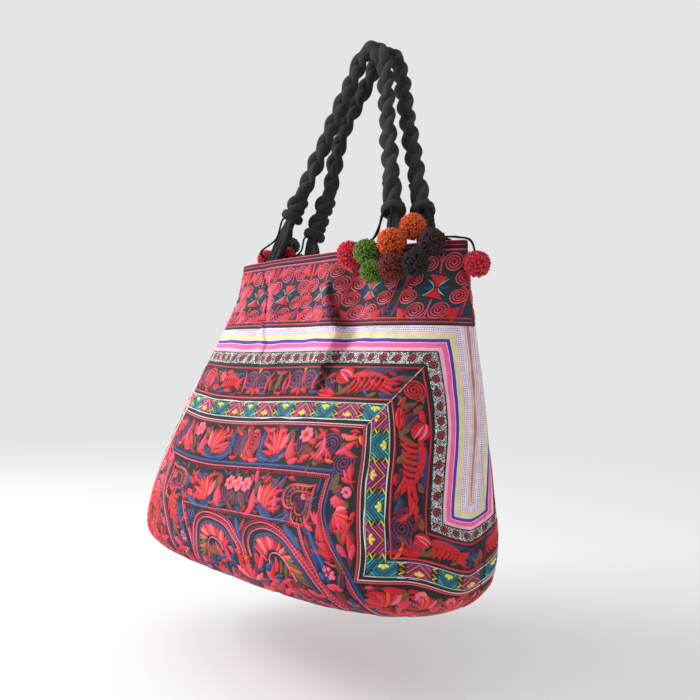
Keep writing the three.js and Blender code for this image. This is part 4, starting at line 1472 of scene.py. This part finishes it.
# Filling: small feathers sewn where the larger shapes leave bare cloth
def fill_feathers(needle, side, box, test, tries, fill):
    threads, lengths, widths, crowd = fill
    for _ in range(tries if side == "front" else tries // 2):
        x, y = RNG.uniform(*box)
        angle = RNG.uniform(0, 2 * math.pi)
        length = RNG.uniform(*lengths)
        width = RNG.uniform(*widths)
        bow = RNG.uniform(-FILL_BOW, FILL_BOW)
        tip = (x + length * math.cos(angle), y + length * math.sin(angle))
        path = bow_path(x, y, *tip, bow, FILL_POINTS)
        if not test(side, path).all():
            continue
        across = np.gradient(path, axis=0)[:, ::-1] * (-1, 1)
        across *= FILL_REACH * width / np.linalg.norm(across, axis=1)[:, None]
        if SEWN[sewn_cells(np.concatenate([path, path + across, path - across]))].sum() > crowd:
            continue
        needle.petal(x, y, *tip, bow, width, threads[RNG.integers(len(threads))], 0.9)


def on_cloth(side, chart):
    return np.abs(chart[:, 0]) < half_round(side, chart[:, 1]) - FILL_FROM_SEAM


def from_frame(side, chart):
    # How far a point lies out from the sides of the field's frame
    return np.abs((2 * chart - leaning(side, chart))[:, 0]) - FIRST_FRAME[side]


def on_band(_, chart):
    return (chart[:, 1] > TOP_HEAD + 2) & (chart[:, 1] < TOP_FOOT - 2)


def among_animals(side, chart):
    inward = inward_of(side, chart)
    return (inward > ANIMALS_FIRST) & (inward < ANIMALS_LAST) & on_cloth(side, chart)


def beside_field(side, chart):
    outside = (from_frame(side, chart) > 7) | (chart[:, 1] < FIRST_FRAME_TOP - 8)
    return outside & (inward_of(side, chart) > INNER_FIRST) & on_cloth(side, chart)


def inside_field(side, chart):
    return from_frame(side, chart) < -4


# The top band, the animal border, the inner border and the field
def top_block(needle, width):
    needle.triangle(0, 1, 19, 13, "red", turn=180)
    needle.triangle(0, -1, 21, 12, "red")
    for hand in HANDS:
        needle.petal(hand * 2, 0, hand * 12, 10, hand * 0.2, 2.2, "sage")
        needle.petal(hand * 2, 0, hand * 12, -10, -hand * 0.2, 2.2, "sage")
        needle.petal(hand * 4, 0, hand * 14, 0, 0, 5.5, "navy")
        needle.cord_spiral(hand * 12.3, 29, 11, 90 + hand * 90, -hand)
        needle.cord_spiral(hand * 12.3, -28, 11, 90 + hand * 90, hand)
        needle.cord_spiral(hand * width * 0.36, 11.4, 10.4, -90, hand)
        needle.cord_spiral(hand * width * 0.36, -10.4, 10.4, 90, -hand)
        needle.triangle(hand * (width * 0.47), 25, 17, 17, "red", turn=hand * 45 + 180)
        needle.triangle(hand * (width * 0.47), -24, 17, 17, "red", turn=-hand * 45)
        needle.petal(hand * width * 0.49, -36, hand * width * 0.46, -20, 0, 7, "purple")
        end = hand * width * 0.5
        needle.stitch(line_path([(end, 42), (end, -37)]), 1.9, "rose", 1.1)
    for y0, y1 in ((40, 15), (-38, -14)):
        needle.stitch(line_path([(0, y0), (0, y1)]), 2.0, "rose", 0.9)
        needle.stitch(line_path([(0.3, y0), (0.3, y1)]), 1.0, "pink", 1.3)


def top_embroidery(side):
    zone = f"top_embroidery_{side}"
    centres = TOP_BLOCKS[side]
    for i, centre in enumerate(centres):
        left = centre - centres[i - 1] if i else TOP_END_BLOCK
        right = centres[i + 1] - centre if i + 1 < len(centres) else TOP_END_BLOCK
        top_block(in_flat(zone, centre, TOP_MIDDLE), min(left, right) * TOP_BLOCK_SHARE)
    for fall, thread, width in TOP_LINES:
        half = float(half_round(side, fall)) - LINE_FROM_SEAM
        in_flat(zone, 0, fall).cord_line([(-half, 0), (half, 0)], thread, width)
    half = float(half_round(side, TAPE_FALL)) - LINE_FROM_SEAM
    for fall in TAPE_LINES:
        in_flat(f"tape_cord_{side}", 0, fall).cord_line([(-half, 0), (half, 0)], "rose", 1.8)
    box = ((-half, TOP_HEAD + 3), (half, TOP_FOOT - 3))
    fill_feathers(Needle(zone), side, box, on_band, TOP_TRIES, TOP_FILL)


# Motifs along the top of the animal border: off, size and flip of each
ANIMAL_ROW = {
    "front": (
        (red_coil, -128, 1, 1), (bird, -76, 0.66, 1), (spiral_pair, -22, 1, 1),
        (brown_plumes, 17, 1, 1), (spiral_pair, 56, 1, 1), (bird, 139, 1, 1),
    ),
    "back": (
        (spiral_pair, -30, 1, 1), (brown_plumes, 0, 1, 1), (spiral_pair, 30, 1, 1),
        (bird, 100, 0.84, 1), (bird, -100, 0.84, -1),
    ),
}


def animal_border(side):
    zone = f"animal_border_{side}"
    for motif, off, size, flip in ANIMAL_ROW[side]:
        motif(in_flat(zone, off, ANIMALS_IN, size=size, flip=flip))
    for hand in HANDS:
        beside = partial(down_side, zone, side, hand)
        beside(73, 60.5).spiral(0, 0, 11.5, 11.5, 3.4, "red", 0, 1)
        beside(86, 75).petal(-6, 6, 4, -4, 0, 5, "red")
        bird(beside(142, ANIMALS_IN, size=0.95))
        for i, thread in enumerate(("red", "rose", "red", "maroon")):
            tip = (14 + 2 * i, -12 + 2.5 * i)
            beside(186, 68).petal(-6 + 3 * i, 10 - 3.2 * i, *tip, 0.42, 4.2, thread)
        beside(208, 72).spiral(0, 0, 13, 12.5, 3.4, "purple", 120, 1)
        beside(223, 60).petal(-4, 5, 10, -2, 0.2, 5, "red")
        beside(228, 78).petal(-8, 6, 8, -3, 0.2, 5, "orange")
        below = partial(along_foot, zone, side, hand)
        below(92, 66).spiral(0, 0, 11.5, 12.5, 3.4, "purple", 0, -1)
        below(80, 72).fan(30, 120, 4, 16, 0.15, 4.2, ("red", "rose", "red"))
        below(88, 78).petal(-18, 1, 14, 0, 0.1, 5, "red")
        bird(below(46, ANIMALS_IN, size=0.84))
    half = float(half_round(side, 200))
    boxes = (((-half, 50), (half, 82)), ((120, 50), (half, 280)), ((-half, 50), (-120, 280)))
    for box, tries in zip(boxes, ANIMAL_TRIES):
        for fill in ANIMAL_FILLS:
            fill_feathers(Needle(zone), side, box, among_animals, tries, fill)


def inner_corner(needle):
    for i, thread in enumerate(("rose", "pink", "red", "rose", "red")):
        needle.petal(-8 + 2 * i, 16 - 5.5 * i, -16 + 7 * i, -16 + 0.6 * i, 0.4, 4.4, thread)
    needle.spiral(4, 2, 13, 13, 3.6, "purple", 0, 1)
    needle.spiral(27, -15, 13, 13, 3.6, "purple", 180, -1)
    needle.petal(12, 14, 34, 12, -0.2, 7, "orange")
    needle.petal(22, 4, 40, -8, -0.4, 7, "red")
    needle.petal(34, 14, 40, 4, 0, 6, "orange")
    needle.petal(4, -13, 16, -15, 0, 5, "orange")


def inner_border(side):
    zone = f"inner_border_{side}"
    narrow = INNER_NARROW[side]
    in_flat(zone, -13.5, INNER_IN).spiral(0, 0, 12, 16, 3.6, "purple", -60, 1)
    in_flat(zone, 13.5, INNER_IN).spiral(0, 0, 12, 16, 3.6, "red", 240, -1)
    in_flat(zone, 0, INNER_IN).triangle(0, 8.25, 9, 8, "orange", turn=180)
    in_flat(zone, 0, INNER_IN).triangle(0, -8.25, 9, 8, "orange")
    corner = float(own_half(side, INNER_IN)) - SIDE_MARGIN - INNER_IN
    for hand in HANDS:
        in_flat(zone, hand * 33, INNER_IN, flip=hand).plume(0, -17, -3, 17, 0.12, 11, NAVY_ROWS)
        navy_leaves(in_flat(zone, hand * 50 * narrow, INNER_IN + 8, flip=hand))
        size = INNER_BIRD_SIZE[side]
        small_bird(in_flat(zone, hand * 56 * narrow, INNER_IN - 1, flip=hand, size=size))
        inner_corner(in_flat(zone, hand * (corner - 20), INNER_IN, flip=hand))
        beside = partial(down_side, zone, side, hand)
        if side == "front" and hand > 0:
            beside(168, 140).plume(-8, 4, 10, -4, 0.2, 9, BROWN_ROWS)
            small_bird(beside(200, 131, flip=-1, size=0.6))
        else:
            beside(163, 150).fan(-20, 60, 5, 24, 0.25, 4.6, ("rose", "red", "pink"))
            beside(188, 149).plume(-8, 4, 10, -4, 0.2, 9, BROWN_ROWS)
            small_bird(beside(218, INNER_IN, flip=-1, size=0.9))
            beside(206, 151).petal(-16, 0, 20, 2, 0.1, 9, "rose", 1.2, 1.3)
            bird(beside(252, INNER_IN - 6, size=0.72))
        for i in range(5):
            small_bird(along_foot(zone, side, hand, 96 - 40 * i, INNER_IN, size=0.85))
    half = float(half_round(side, 220))
    boxes = (
        ((-half, 115), (half, 158)), ((60, 117), (half, 340)), ((-half, 117), (-60, 340)),
        ((120, 155), (245, 300)), ((-245, 155), (-120, 300)),
    )
    for box, tries in zip(boxes, INNER_TRIES):
        for fill in INNER_FILLS:
            fill_feathers(Needle(zone), side, box, beside_field, tries, fill)


def inner_field(side):
    zone = f"field_{side}"
    narrow = FIELD_NARROW[side]
    size = FIELD_SIZE[side]
    spot = partial(on_field, zone, side, narrow)
    stretch = (1, 1 / narrow)
    for hand in HANDS:
        heart(in_flat(zone, hand * 112 * narrow, 191, turn=hand * 138, size=size), 24)
        small_bird(spot(hand * 54, 192, flip=-hand, size=size))
        navy_leaves(spot(hand * 66, 203, flip=-hand, size=size))
        lobe(spot(0, 246, flip=hand, size=narrow))
        x = hand * SECOND_FRAME
        upright = np.array([(x, -SECOND_FRAME_TOP), (x, -SECOND_FRAME_FOOT)][::hand])
        spot(0, 0, size=narrow).ticked_line(upright * stretch)
        spot(hand * 89, 221, flip=hand, size=size).plume(-12, 5, 7, -16, -0.1, 12, NAVY_ROWS)
        spot(hand * 109, 232, flip=hand, size=size).plume(2, 20, -1, -34, 0.1, 9, NAVY_ROWS)
        field_bird(spot(hand * 123, 232, flip=hand, size=size))
        for i, thread in enumerate(("rose", "red", "pink", "purple")):
            needle = spot(0, 278, flip=hand, size=size)
            needle.petal(1, 0, 3 + 9 * i, 20 - 4 * i, 0.15 - 0.1 * i, 7, thread)
        lobe(spot(0, 372, turn=180, flip=-hand, size=narrow))
    top = np.array([(-SECOND_FRAME, -SECOND_FRAME_TOP), (SECOND_FRAME, -SECOND_FRAME_TOP)])
    spot(0, 0, size=narrow).ticked_line(top * stretch)
    spot(0, 182).rosette(0, 0, 9 * size, "pink", "orange")
    spot(0, 198).plume(-5, 8, -4, -11, 0, 8, ("purple", "plum"))
    spot(0, 198).plume(5, 8, 4, -11, 0, 8, ("purple", "plum"))
    spot(0, 226, size=size).plume(0, 8, 0, -18, 0, 10, NAVY_ROWS)
    spot(0, 256).rosette(0, 0, 6, "red", "gold")
    half = FIRST_FRAME[side] + FIELD_LEAN[side]
    for first, last, tries, fill in FIELD_FILLS:
        fill_feathers(Needle(zone), side, ((-half, first), (half, last)), inside_field, tries, fill)


# All drawn thread of a zone, laid over the cloth as one piece
def raised_thread(group, side, across):
    charts, widths, heights, dyes = zip(*group)
    sizes = np.array([len(chart) for chart in charts])
    ends = np.cumsum(sizes)
    starts = ends - sizes
    chart = np.concatenate(charts)
    height = np.repeat(heights, sizes)[:, None]
    off, fall = chart.T
    fall = fall + sag(side, off, fall)
    half = half_round(side, fall)
    room = np.minimum(half - np.abs(off), BASE_DOWN - SEAM_DOWN - fall)
    width = np.clip(2 * room, THREAD_LEAST, np.concatenate(widths))[:, None]
    off = np.clip(off, -half + THREAD_FROM_SEAM, half - THREAD_FROM_SEAM)
    turn = turn_at(side, off, fall)
    down = np.clip(fall + SEAM_DOWN, 0, BASE_DOWN - THREAD_FROM_FOOT)
    spot = cloth_point(side, turn, down)
    normal = cloth_normal(side, turn, down)
    ahead = np.arange(len(chart)) + 1
    behind = np.arange(len(chart)) - 1
    ahead[ends - 1] = ends - 1
    behind[starts] = starts
    sideways = unit(np.cross(normal, unit(spot[ahead] - spot[behind])))
    flat_along = unit(chart[ahead] - chart[behind])
    flat_side = np.stack([-flat_along[:, 1], flat_along[:, 0]], 1)
    run = np.cumsum(np.linalg.norm(spot - spot[behind], axis=1))
    profile = np.array(PROFILES[across], float)
    spread = width / 2 * profile
    lift = np.sqrt(np.maximum(1 - profile ** 2, 0))
    full = np.minimum(1, THREAD_NARROW_RISE + width / THREAD_FULL_WIDTH)
    rise = height * lift * full - THREAD_SINK + THREAD_RISE * lift
    points = spot[:, None, :] + sideways[:, None, :] * spread[..., None]
    points = points + normal[:, None, :] * rise[..., None]
    flats = np.stack([off, fall], 1)[:, None, :] + flat_side[:, None, :] * spread[..., None]
    lays = np.stack([np.broadcast_to(run[:, None], spread.shape), spread], -1)
    inside = np.setdiff1d(np.arange(len(chart) - 1), ends - 1)
    here = inside[:, None] * across + np.arange(across - 1)[None, :]
    quads = np.stack([here, here + across, here + across + 1, here + 1], -1)
    colours = np.repeat(np.repeat(dyes, sizes, axis=0), across, axis=0)
    return points.reshape(-1, 3), quads.reshape(-1, 4), lays.reshape(-1, 2), flats.reshape(-1, 2), colours


def lay_stitches(zone, side, slot):
    parts = []
    for across in PROFILES:
        group = [drawn for kind, *drawn in STITCHES[zone] if kind == across]
        if group:
            parts.append(raised_thread(group, side, across))
    points, faces, lays, flats, colours = joined(parts)
    piece = make_piece(zone, points, faces, [RAYON])
    lay_map(piece, "thread_lay", lays)
    low = flats.min(0)
    span = (flats.max(0) - low) * THREAD_BAKE_ROOM
    lay_map(piece, "OFBake", (flats - low) / span + THREAD_BAKE_MARGIN)
    colour_points(piece, "thread_colour", colours)
    settle(piece, slot)


# Handles
def jersey_piece(name, parts, node):
    points, faces, lay = joined(parts)
    piece = make_piece(name, points, faces, [JERSEY])
    lay_map(piece, "strand_lay", lay)
    settle(piece, "black_cotton", node)


def hang_point(handle, angle):
    turn = math.radians(angle)
    z = HANG_TOP - HANG_RADIUS + HANG_RADIUS * math.sin(turn)
    return np.array([HANG_RADIUS * math.cos(turn), HANG_Y[handle], z])


def knot_axis(end):
    handle, hand = end.split("_")
    collar = np.array(HANDLE_ENDS[end][0], float)
    bend = hang_point(handle, HANG_ANGLES[0] if hand == "left" else HANG_ANGLES[-1])
    return unit(bend - collar)


def knot_height(end):
    return COLLAR_HEIGHT + HANDLE_ENDS[end][2] * BULB_HEIGHT + PLAIT_START


def knot_top(end):
    return np.array(HANDLE_ENDS[end][0]) + knot_axis(end) * knot_height(end)


def handle_path(handle):
    bend = [hang_point(handle, angle) for angle in HANG_ANGLES]
    left = knot_top(f"{handle}_left")
    right = knot_top(f"{handle}_right")
    left_middle = (left + bend[0]) / 2 + np.array([LEFT_SWAY[handle], 0, 0])
    return smooth_path([left, left_middle, *bend, (right + bend[-1]) / 2, right], PLAIT_POINTS)


def pinched(share):
    return STRAND_PINCH + (1 - STRAND_PINCH) * share


def plait(handle):
    path = handle_path(handle)
    along = unit(np.gradient(path, axis=0))
    through = unit(np.array([0, 1, 0]) - along * along[:, 1:2])
    across = np.cross(through, along)
    cycles = round(PLAIT_STEPS * length_of(path) / PLAIT_PITCH) / PLAIT_STEPS
    t = np.linspace(0, 1, PLAIT_POINTS)
    sway = PLAIT_SWAY * pinched(smooth_step(0, PLAIT_DRAW_IN, t) * smooth_step(1, 1 - PLAIT_DRAW_IN, t))
    for strand in range(STRANDS):
        angle = 2 * np.pi * (cycles * t + strand / STRANDS)
        swing = np.tanh(PLAIT_SWING * np.sin(angle)) / math.tanh(PLAIT_SWING)
        line = path + across * (sway * swing)[:, None]
        line = line + through * (PLAIT_CROSS * np.sin(2 * angle))[:, None]
        first = path[0] - along[0] * STRAND_OVERRUN
        last = path[-1] + along[-1] * STRAND_OVERRUN
        line = np.concatenate([[first], line, [last]])
        run = np.linspace(0, 1, len(line))
        lumps = [share * np.sin(waves * run + shift * strand) for share, waves, shift in PLAIT_LUMPS]
        squeeze = 1 - PLAIT_SQUEEZE + PLAIT_SQUEEZE * np.abs(np.cos(np.pad(angle, 1, mode="edge")))
        plump = PLAIT_RADIUS * (1 + sum(lumps)) * squeeze
        cotton = tube(line, plump, STRAND_SIDES, flat=PLAIT_FLAT, across=across[0])
        jersey_piece(f"{handle}_plait_{strand + 1}", [cotton], f"{handle}_handle_strand_{strand + 1}")


def knot(end):
    collar, _, bulbs = HANDLE_ENDS[end]
    collar = np.array(collar, float)
    axis = knot_axis(end)
    across = unit(np.array([1.0, 0, 0]) - axis * axis[0])
    through = np.cross(axis, across)
    tall = knot_height(end)

    def around(angle, reach, rise):
        ring = across * (reach * np.cos(angle))[:, None] + through * (reach * np.sin(angle))[:, None]
        return collar + ring + axis * rise[:, None]

    # A band of cloth wound twice round the strands
    rise = WRAP_FOOT + WRAP_RISE * np.linspace(0, 1, WRAP_POINTS)
    wrap = around(np.linspace(*WRAP_TURNS, WRAP_POINTS), WRAP_REACH, rise)
    parts = [tube(wrap, WRAP_RADIUS, STRAND_SIDES, flat=STRAND_FLAT, across=axis)]
    if end.endswith("right"):
        # The three strands run on down into the band
        rise = np.linspace(KNOT_FOOT, tall + STRAND_OVERRUN, RUN_ON_POINTS)
        for strand in range(STRANDS):
            turn = 2 * np.pi * (rise / PLAIT_PITCH + strand / STRANDS)
            line = around(turn, RUN_ON_REACH, rise)
            parts.append(tube(line, RUN_ON_RADIUS, STRAND_SIDES, across=axis))
    else:
        # Each bulb is the strands drawn into a round overhand knot
        core = np.linspace(KNOT_FOOT, tall + CORE_OVERRUN, CORE_POINTS)
        parts.append(tube(collar + axis * core[:, None], CORE_RADIUS, BULB_SIDES))
        t = np.linspace(0, 2 * np.pi, BULB_POINTS)
        for bulb in range(bulbs):
            reach = BULB_REACH + BULB_SWELL * np.cos(3 * t)
            rise = COLLAR_HEIGHT + (bulb + BULB_MIDDLE) * BULB_HEIGHT + BULB_RISE * np.sin(3 * t)
            line = around(2 * t + 2 * bulb, reach, rise)
            parts.append(tube(line, BULB_RADIUS, BULB_SIDES, across=axis))
    jersey_piece(f"{end}_wraps", parts, f"{end}_knot")


def down_at_height(z):
    fine = np.linspace(0, BASE_DOWN, 2000)
    return float(np.interp(-z, -levels_at(fine)[:, HEIGHT], fine))


def tail_seat(side, foot_x, below):
    # A point inside the mouth where a tail is sewn, and the way across the tail there
    inset = BINDING_WALL + TAIL_CLEARANCE + TAIL_THICKNESS / 2
    down = down_at_height(LEVELS[0, HEIGHT] - below)
    turn = math.asin(foot_x / float(levels_at(down)[HALF_WIDTH])) * 2 / math.pi
    turns = turn + TAIL_TURN_STEP * np.array([-1, 0, 1])
    downs = np.full(3, down)
    before, seat, after = cloth_point(side, turns, downs) - cloth_normal(side, turns, downs) * inset
    return seat, unit(after - before)


def tail(end):
    collar, foot_x, _ = HANDLE_ENDS[end]
    collar = np.array(collar, float)
    side = end.split("_")[0]
    axis = knot_axis(end)
    depths = (0, TAIL_DEPTH / 2, TAIL_DEPTH)
    seats, turned = zip(*[tail_seat(side, foot_x, below) for below in depths])
    top = [collar + axis * TAIL_INTO_COLLAR, collar - axis * TAIL_BELOW_COLLAR, (collar + seats[0]) / 2]
    spine = smooth_path([*top, *seats], TAIL_POINTS)
    stations = np.array([(1.0, 0, 0)] * len(top) + list(turned))
    t = np.linspace(0, 1, TAIL_POINTS)
    at = t * (len(stations) - 1)
    across = np.stack([np.interp(at, np.arange(len(stations)), column) for column in stations.T], 1)
    across = unit(across)
    spread = TAIL_WIDTH / STRANDS * pinched(smooth_step(0, TAIL_SPREAD_END, t))
    parts = []
    for i in (-1, 0, 1):
        line = spine + across * (i * spread)[:, None]
        plump = TAIL_RADIUS * (1 + TAIL_LUMP * np.sin(TAIL_LUMP_WAVES * t + 2 * i))
        parts.append(tube(line, plump, STRAND_SIDES, flat=STRAND_FLAT, across=across[0]))
    jersey_piece(f"{end}_loose_strands", parts, f"{end}_tail")


# Pompoms: clipped yarn ends packed over a ball
def pompom(name):
    centre, radius, code, slot = POMPOMS[name]
    rng = np.random.default_rng(POMPOM_SEED + sorted(POMPOMS).index(name))
    i = np.arange(YARN_ENDS) + 0.5
    z = 1 - 2 * i / YARN_ENDS
    turn = np.pi * (1 + 5 ** 0.5) * i
    out = np.stack([np.sqrt(1 - z * z) * np.cos(turn), np.sqrt(1 - z * z) * np.sin(turn), z], 1)
    out = unit(out + rng.normal(0, YARN_STRAY, out.shape))
    lean = unit(out + rng.normal(0, YARN_LEAN, out.shape))
    reach = radius * rng.uniform(*YARN_REACH, YARN_ENDS)
    foot = out * (YARN_FOOT * radius)
    tip = out * (reach * YARN_STRAIGHT)[:, None] + lean * (reach * YARN_LEANING)[:, None]
    side = unit(np.cross(lean, np.array(YARN_HINT)))[:, None, :]
    through = np.cross(lean[:, None, :], side)
    even = radius * math.sqrt(4 * math.pi / YARN_ENDS) / 2
    thick = even * rng.uniform(*YARN_THICKNESS, YARN_ENDS)
    angle = np.linspace(0, 2 * np.pi, YARN_SIDES, endpoint=False)
    ring = side * np.cos(angle)[None, :, None] + through * np.sin(angle)[None, :, None]
    rings = []
    for share, width, _ in YARN_RINGS:
        spot = foot + (tip - foot) * share
        rings.append(spot[:, None, :] + ring * (thick * width)[:, None, None])
    points = np.concatenate([*rings, tip[:, None, :]], axis=1)
    per_end = points.shape[1]
    faces = (np.arange(YARN_ENDS)[:, None, None] * per_end + yarn_faces()[None]).reshape(-1, 3)
    piece = make_piece(f"wool_{name}", points.reshape(-1, 3) + np.array(centre), faces, [WOOL])
    yarn = np.array(linear(code))[None, :] * rng.uniform(*YARN_SHADES, (YARN_ENDS, 1))
    # Painted shade along each end, dark at its foot deep in the ball, and a painted highlight at its tip
    shade = np.array([*np.repeat([shade for _, _, shade in YARN_RINGS], YARN_SIDES), YARN_TIP_HIGHLIGHT])
    colours = np.clip(yarn[:, None, :] * shade[None, :, None], 0, 1)
    colour_points(piece, "wool_colour_and_painted_shade", colours.reshape(-1, 3))
    lay_map(piece, "OFBake", yarn_cells(angle))
    settle(piece, slot, f"pompom_{name}")
    return piece


def yarn_faces():
    here = np.arange(YARN_SIDES)
    there = (here + 1) % YARN_SIDES
    last = (len(YARN_RINGS) - 1) * YARN_SIDES
    faces = []
    for row in range(0, last, YARN_SIDES):
        above = row + YARN_SIDES
        faces.append(np.stack([row + here, row + there, above + there], 1))
        faces.append(np.stack([row + here, above + there, above + here], 1))
    faces.append(np.stack([last + here, last + there, np.full(YARN_SIDES, last + YARN_SIDES)], 1))
    return np.concatenate(faces)


def yarn_cells(angle):
    # Each end of yarn has a square cell of the bake map
    cells = math.ceil(math.sqrt(YARN_ENDS))
    flat_ring = np.stack([np.cos(angle), np.sin(angle)], 1)
    flat = [flat_ring * reach for reach in np.linspace(*YARN_CELL, len(YARN_RINGS))]
    flat = np.concatenate([*flat, [[0, 0]]]) + 0.5
    cell = np.stack([np.arange(YARN_ENDS) % cells, np.arange(YARN_ENDS) // cells], 1)
    return ((cell[:, None, :] + flat[None]) / cells).reshape(-1, 2)


def string(name):
    end, via, carried = STRINGS[name]
    collar = np.array(HANDLE_ENDS[end][0], float)
    axis = knot_axis(end)
    out = np.array(via[0], float) - (collar + axis * COLLAR_HEIGHT / 2)
    out = unit(out - axis * (out @ axis))
    start = collar + out * (COLLAR_RADIUS - STRING_DIAMETER)
    lead = start + out * STRING_LEAD / 2 - axis * STRING_LEAD
    path = smooth_path([start, lead, *via, *[POMPOMS[ball][0] for ball in carried]], STRING_POINTS)
    points, faces, _ = tube(path, STRING_DIAMETER / 2, STRING_SIDES, rib=STRING_RIB, twist=STRING_TWIST)
    piece = make_piece(f"string_{name}", points, faces, [STRING_COTTON])
    settle(piece, "black_cord", *[f"cord_{ball}" for ball in carried])


# Camera
camera_data = bpy.data.cameras.new("photo_camera")
camera_data.lens = CAMERA_LENS
camera_data.sensor_width = CAMERA_SENSOR
camera = bpy.data.objects.new("photo_camera", camera_data)
camera.location = CAMERA_PLACE
camera_turn = Euler((math.radians(CAMERA_PITCH), 0, math.radians(CAMERA_YAW))).to_quaternion()
camera_roll = Quaternion((0, 0, 1), math.radians(CAMERA_ROLL))
camera.rotation_euler = (camera_turn @ camera_roll).to_euler()
bpy.context.scene.collection.objects.link(camera)
bpy.context.scene.camera = camera

# Strings and pompoms
wool_balls = {name: pompom(name) for name in POMPOMS}
for name in STRINGS:
    string(name)

# Handles
for handle in SIDES:
    plait(handle)
for end in HANDLE_ENDS:
    knot(end)
    tail(end)

# Cloth
for side in SIDES:
    panel = cloth_sheet(
        f"panel_cloth_{side}", side, 0, BASE_DOWN - SEAM_DOWN, PANEL_ROWS[side], PANEL_COTTON
    )
    settle(panel, "panel_cloth", f"main_panel_{side}")
    band = cloth_sheet(
        f"top_cloth_{side}", side, BINDING_HEIGHT - SEAM_DOWN, -GAP, BAND_ROWS[side], TOP_COTTON
    )
    settle(band, "top_cloth", f"top_band_{side}")
    mouth_tape(side)

# Embroidery
for side in SIDES:
    SEWN[:] = False
    top_embroidery(side)
    SEWN[:] = False
    border_cords(side)
    chevron_ribbon(side)
    animal_border(side)
    inner_border(side)
    inner_field(side)
    for zone in [name for name in STITCHES if name.endswith(side)]:
        slot = {"top": "top_cloth", "tape": "binding_cloth"}.get(zone.split("_")[0], "panel_cloth")
        lay_stitches(zone, side, slot)

# Studio: pale floor that fades far off into a painted glow as bright as the white room, and one large soft
# lamp at the front left
bpy.ops.mesh.primitive_plane_add(size=FLOOR_SIZE, location=(0, 0, FLOOR_HEIGHT))
floor = bpy.context.active_object
floor.name = "studio_floor"
floor_paint, floor_shader, floor_node = start_material(
    "pale_floor_paint", Roughness=0.8, Base_Color=paint(FLOOR_COLOUR)
)
floor_place = floor_node("TexCoord", out="Object")
floor_place = floor_node("Mapping", {0: floor_place, "Scale": (1 / FLOOR_FADE,) * 3})
nearness = floor_node("TexGradient", {0: floor_place}, gradient_type="SPHERICAL")
# Painted glow: far off, the floor shines like the room instead of taking light
room_glow = floor_node("Emission", {0: paint(ROOM_COLOUR), 1: ROOM_LIGHT})
surface = floor_node("MixShader", {0: nearness, 1: room_glow, 2: floor_shader.outputs[0]})
floor_tree = floor_paint.node_tree
floor_tree.links.new(surface, floor_tree.nodes["Material Output"].inputs[0])
floor.data.materials.append(floor_paint)
floor.select_set(False)

world = bpy.context.scene.world or bpy.data.worlds.new("studio")
bpy.context.scene.world = world
world.use_nodes = True
world.node_tree.nodes["Background"].inputs[0].default_value = paint(ROOM_COLOUR)
world.node_tree.nodes["Background"].inputs[1].default_value = ROOM_LIGHT
bpy.context.scene.view_settings.view_transform = "Standard"

lamp_data = bpy.data.lights.new("window", "AREA")
lamp_data.shape = "RECTANGLE"
lamp_data.size = LAMP_WIDTH
lamp_data.size_y = LAMP_TALL
lamp_data.energy = LAMP_WATTS
lamp = bpy.data.objects.new("window", lamp_data)
lamp.location = LAMP_PLACE
aim = np.array(LAMP_AIM) - np.array(LAMP_PLACE)
lamp.rotation_euler = (
    math.atan2(math.hypot(aim[0], aim[1]), -aim[2]), 0, math.atan2(aim[1], aim[0]) - math.pi / 2
)
bpy.context.scene.collection.objects.link(lamp)
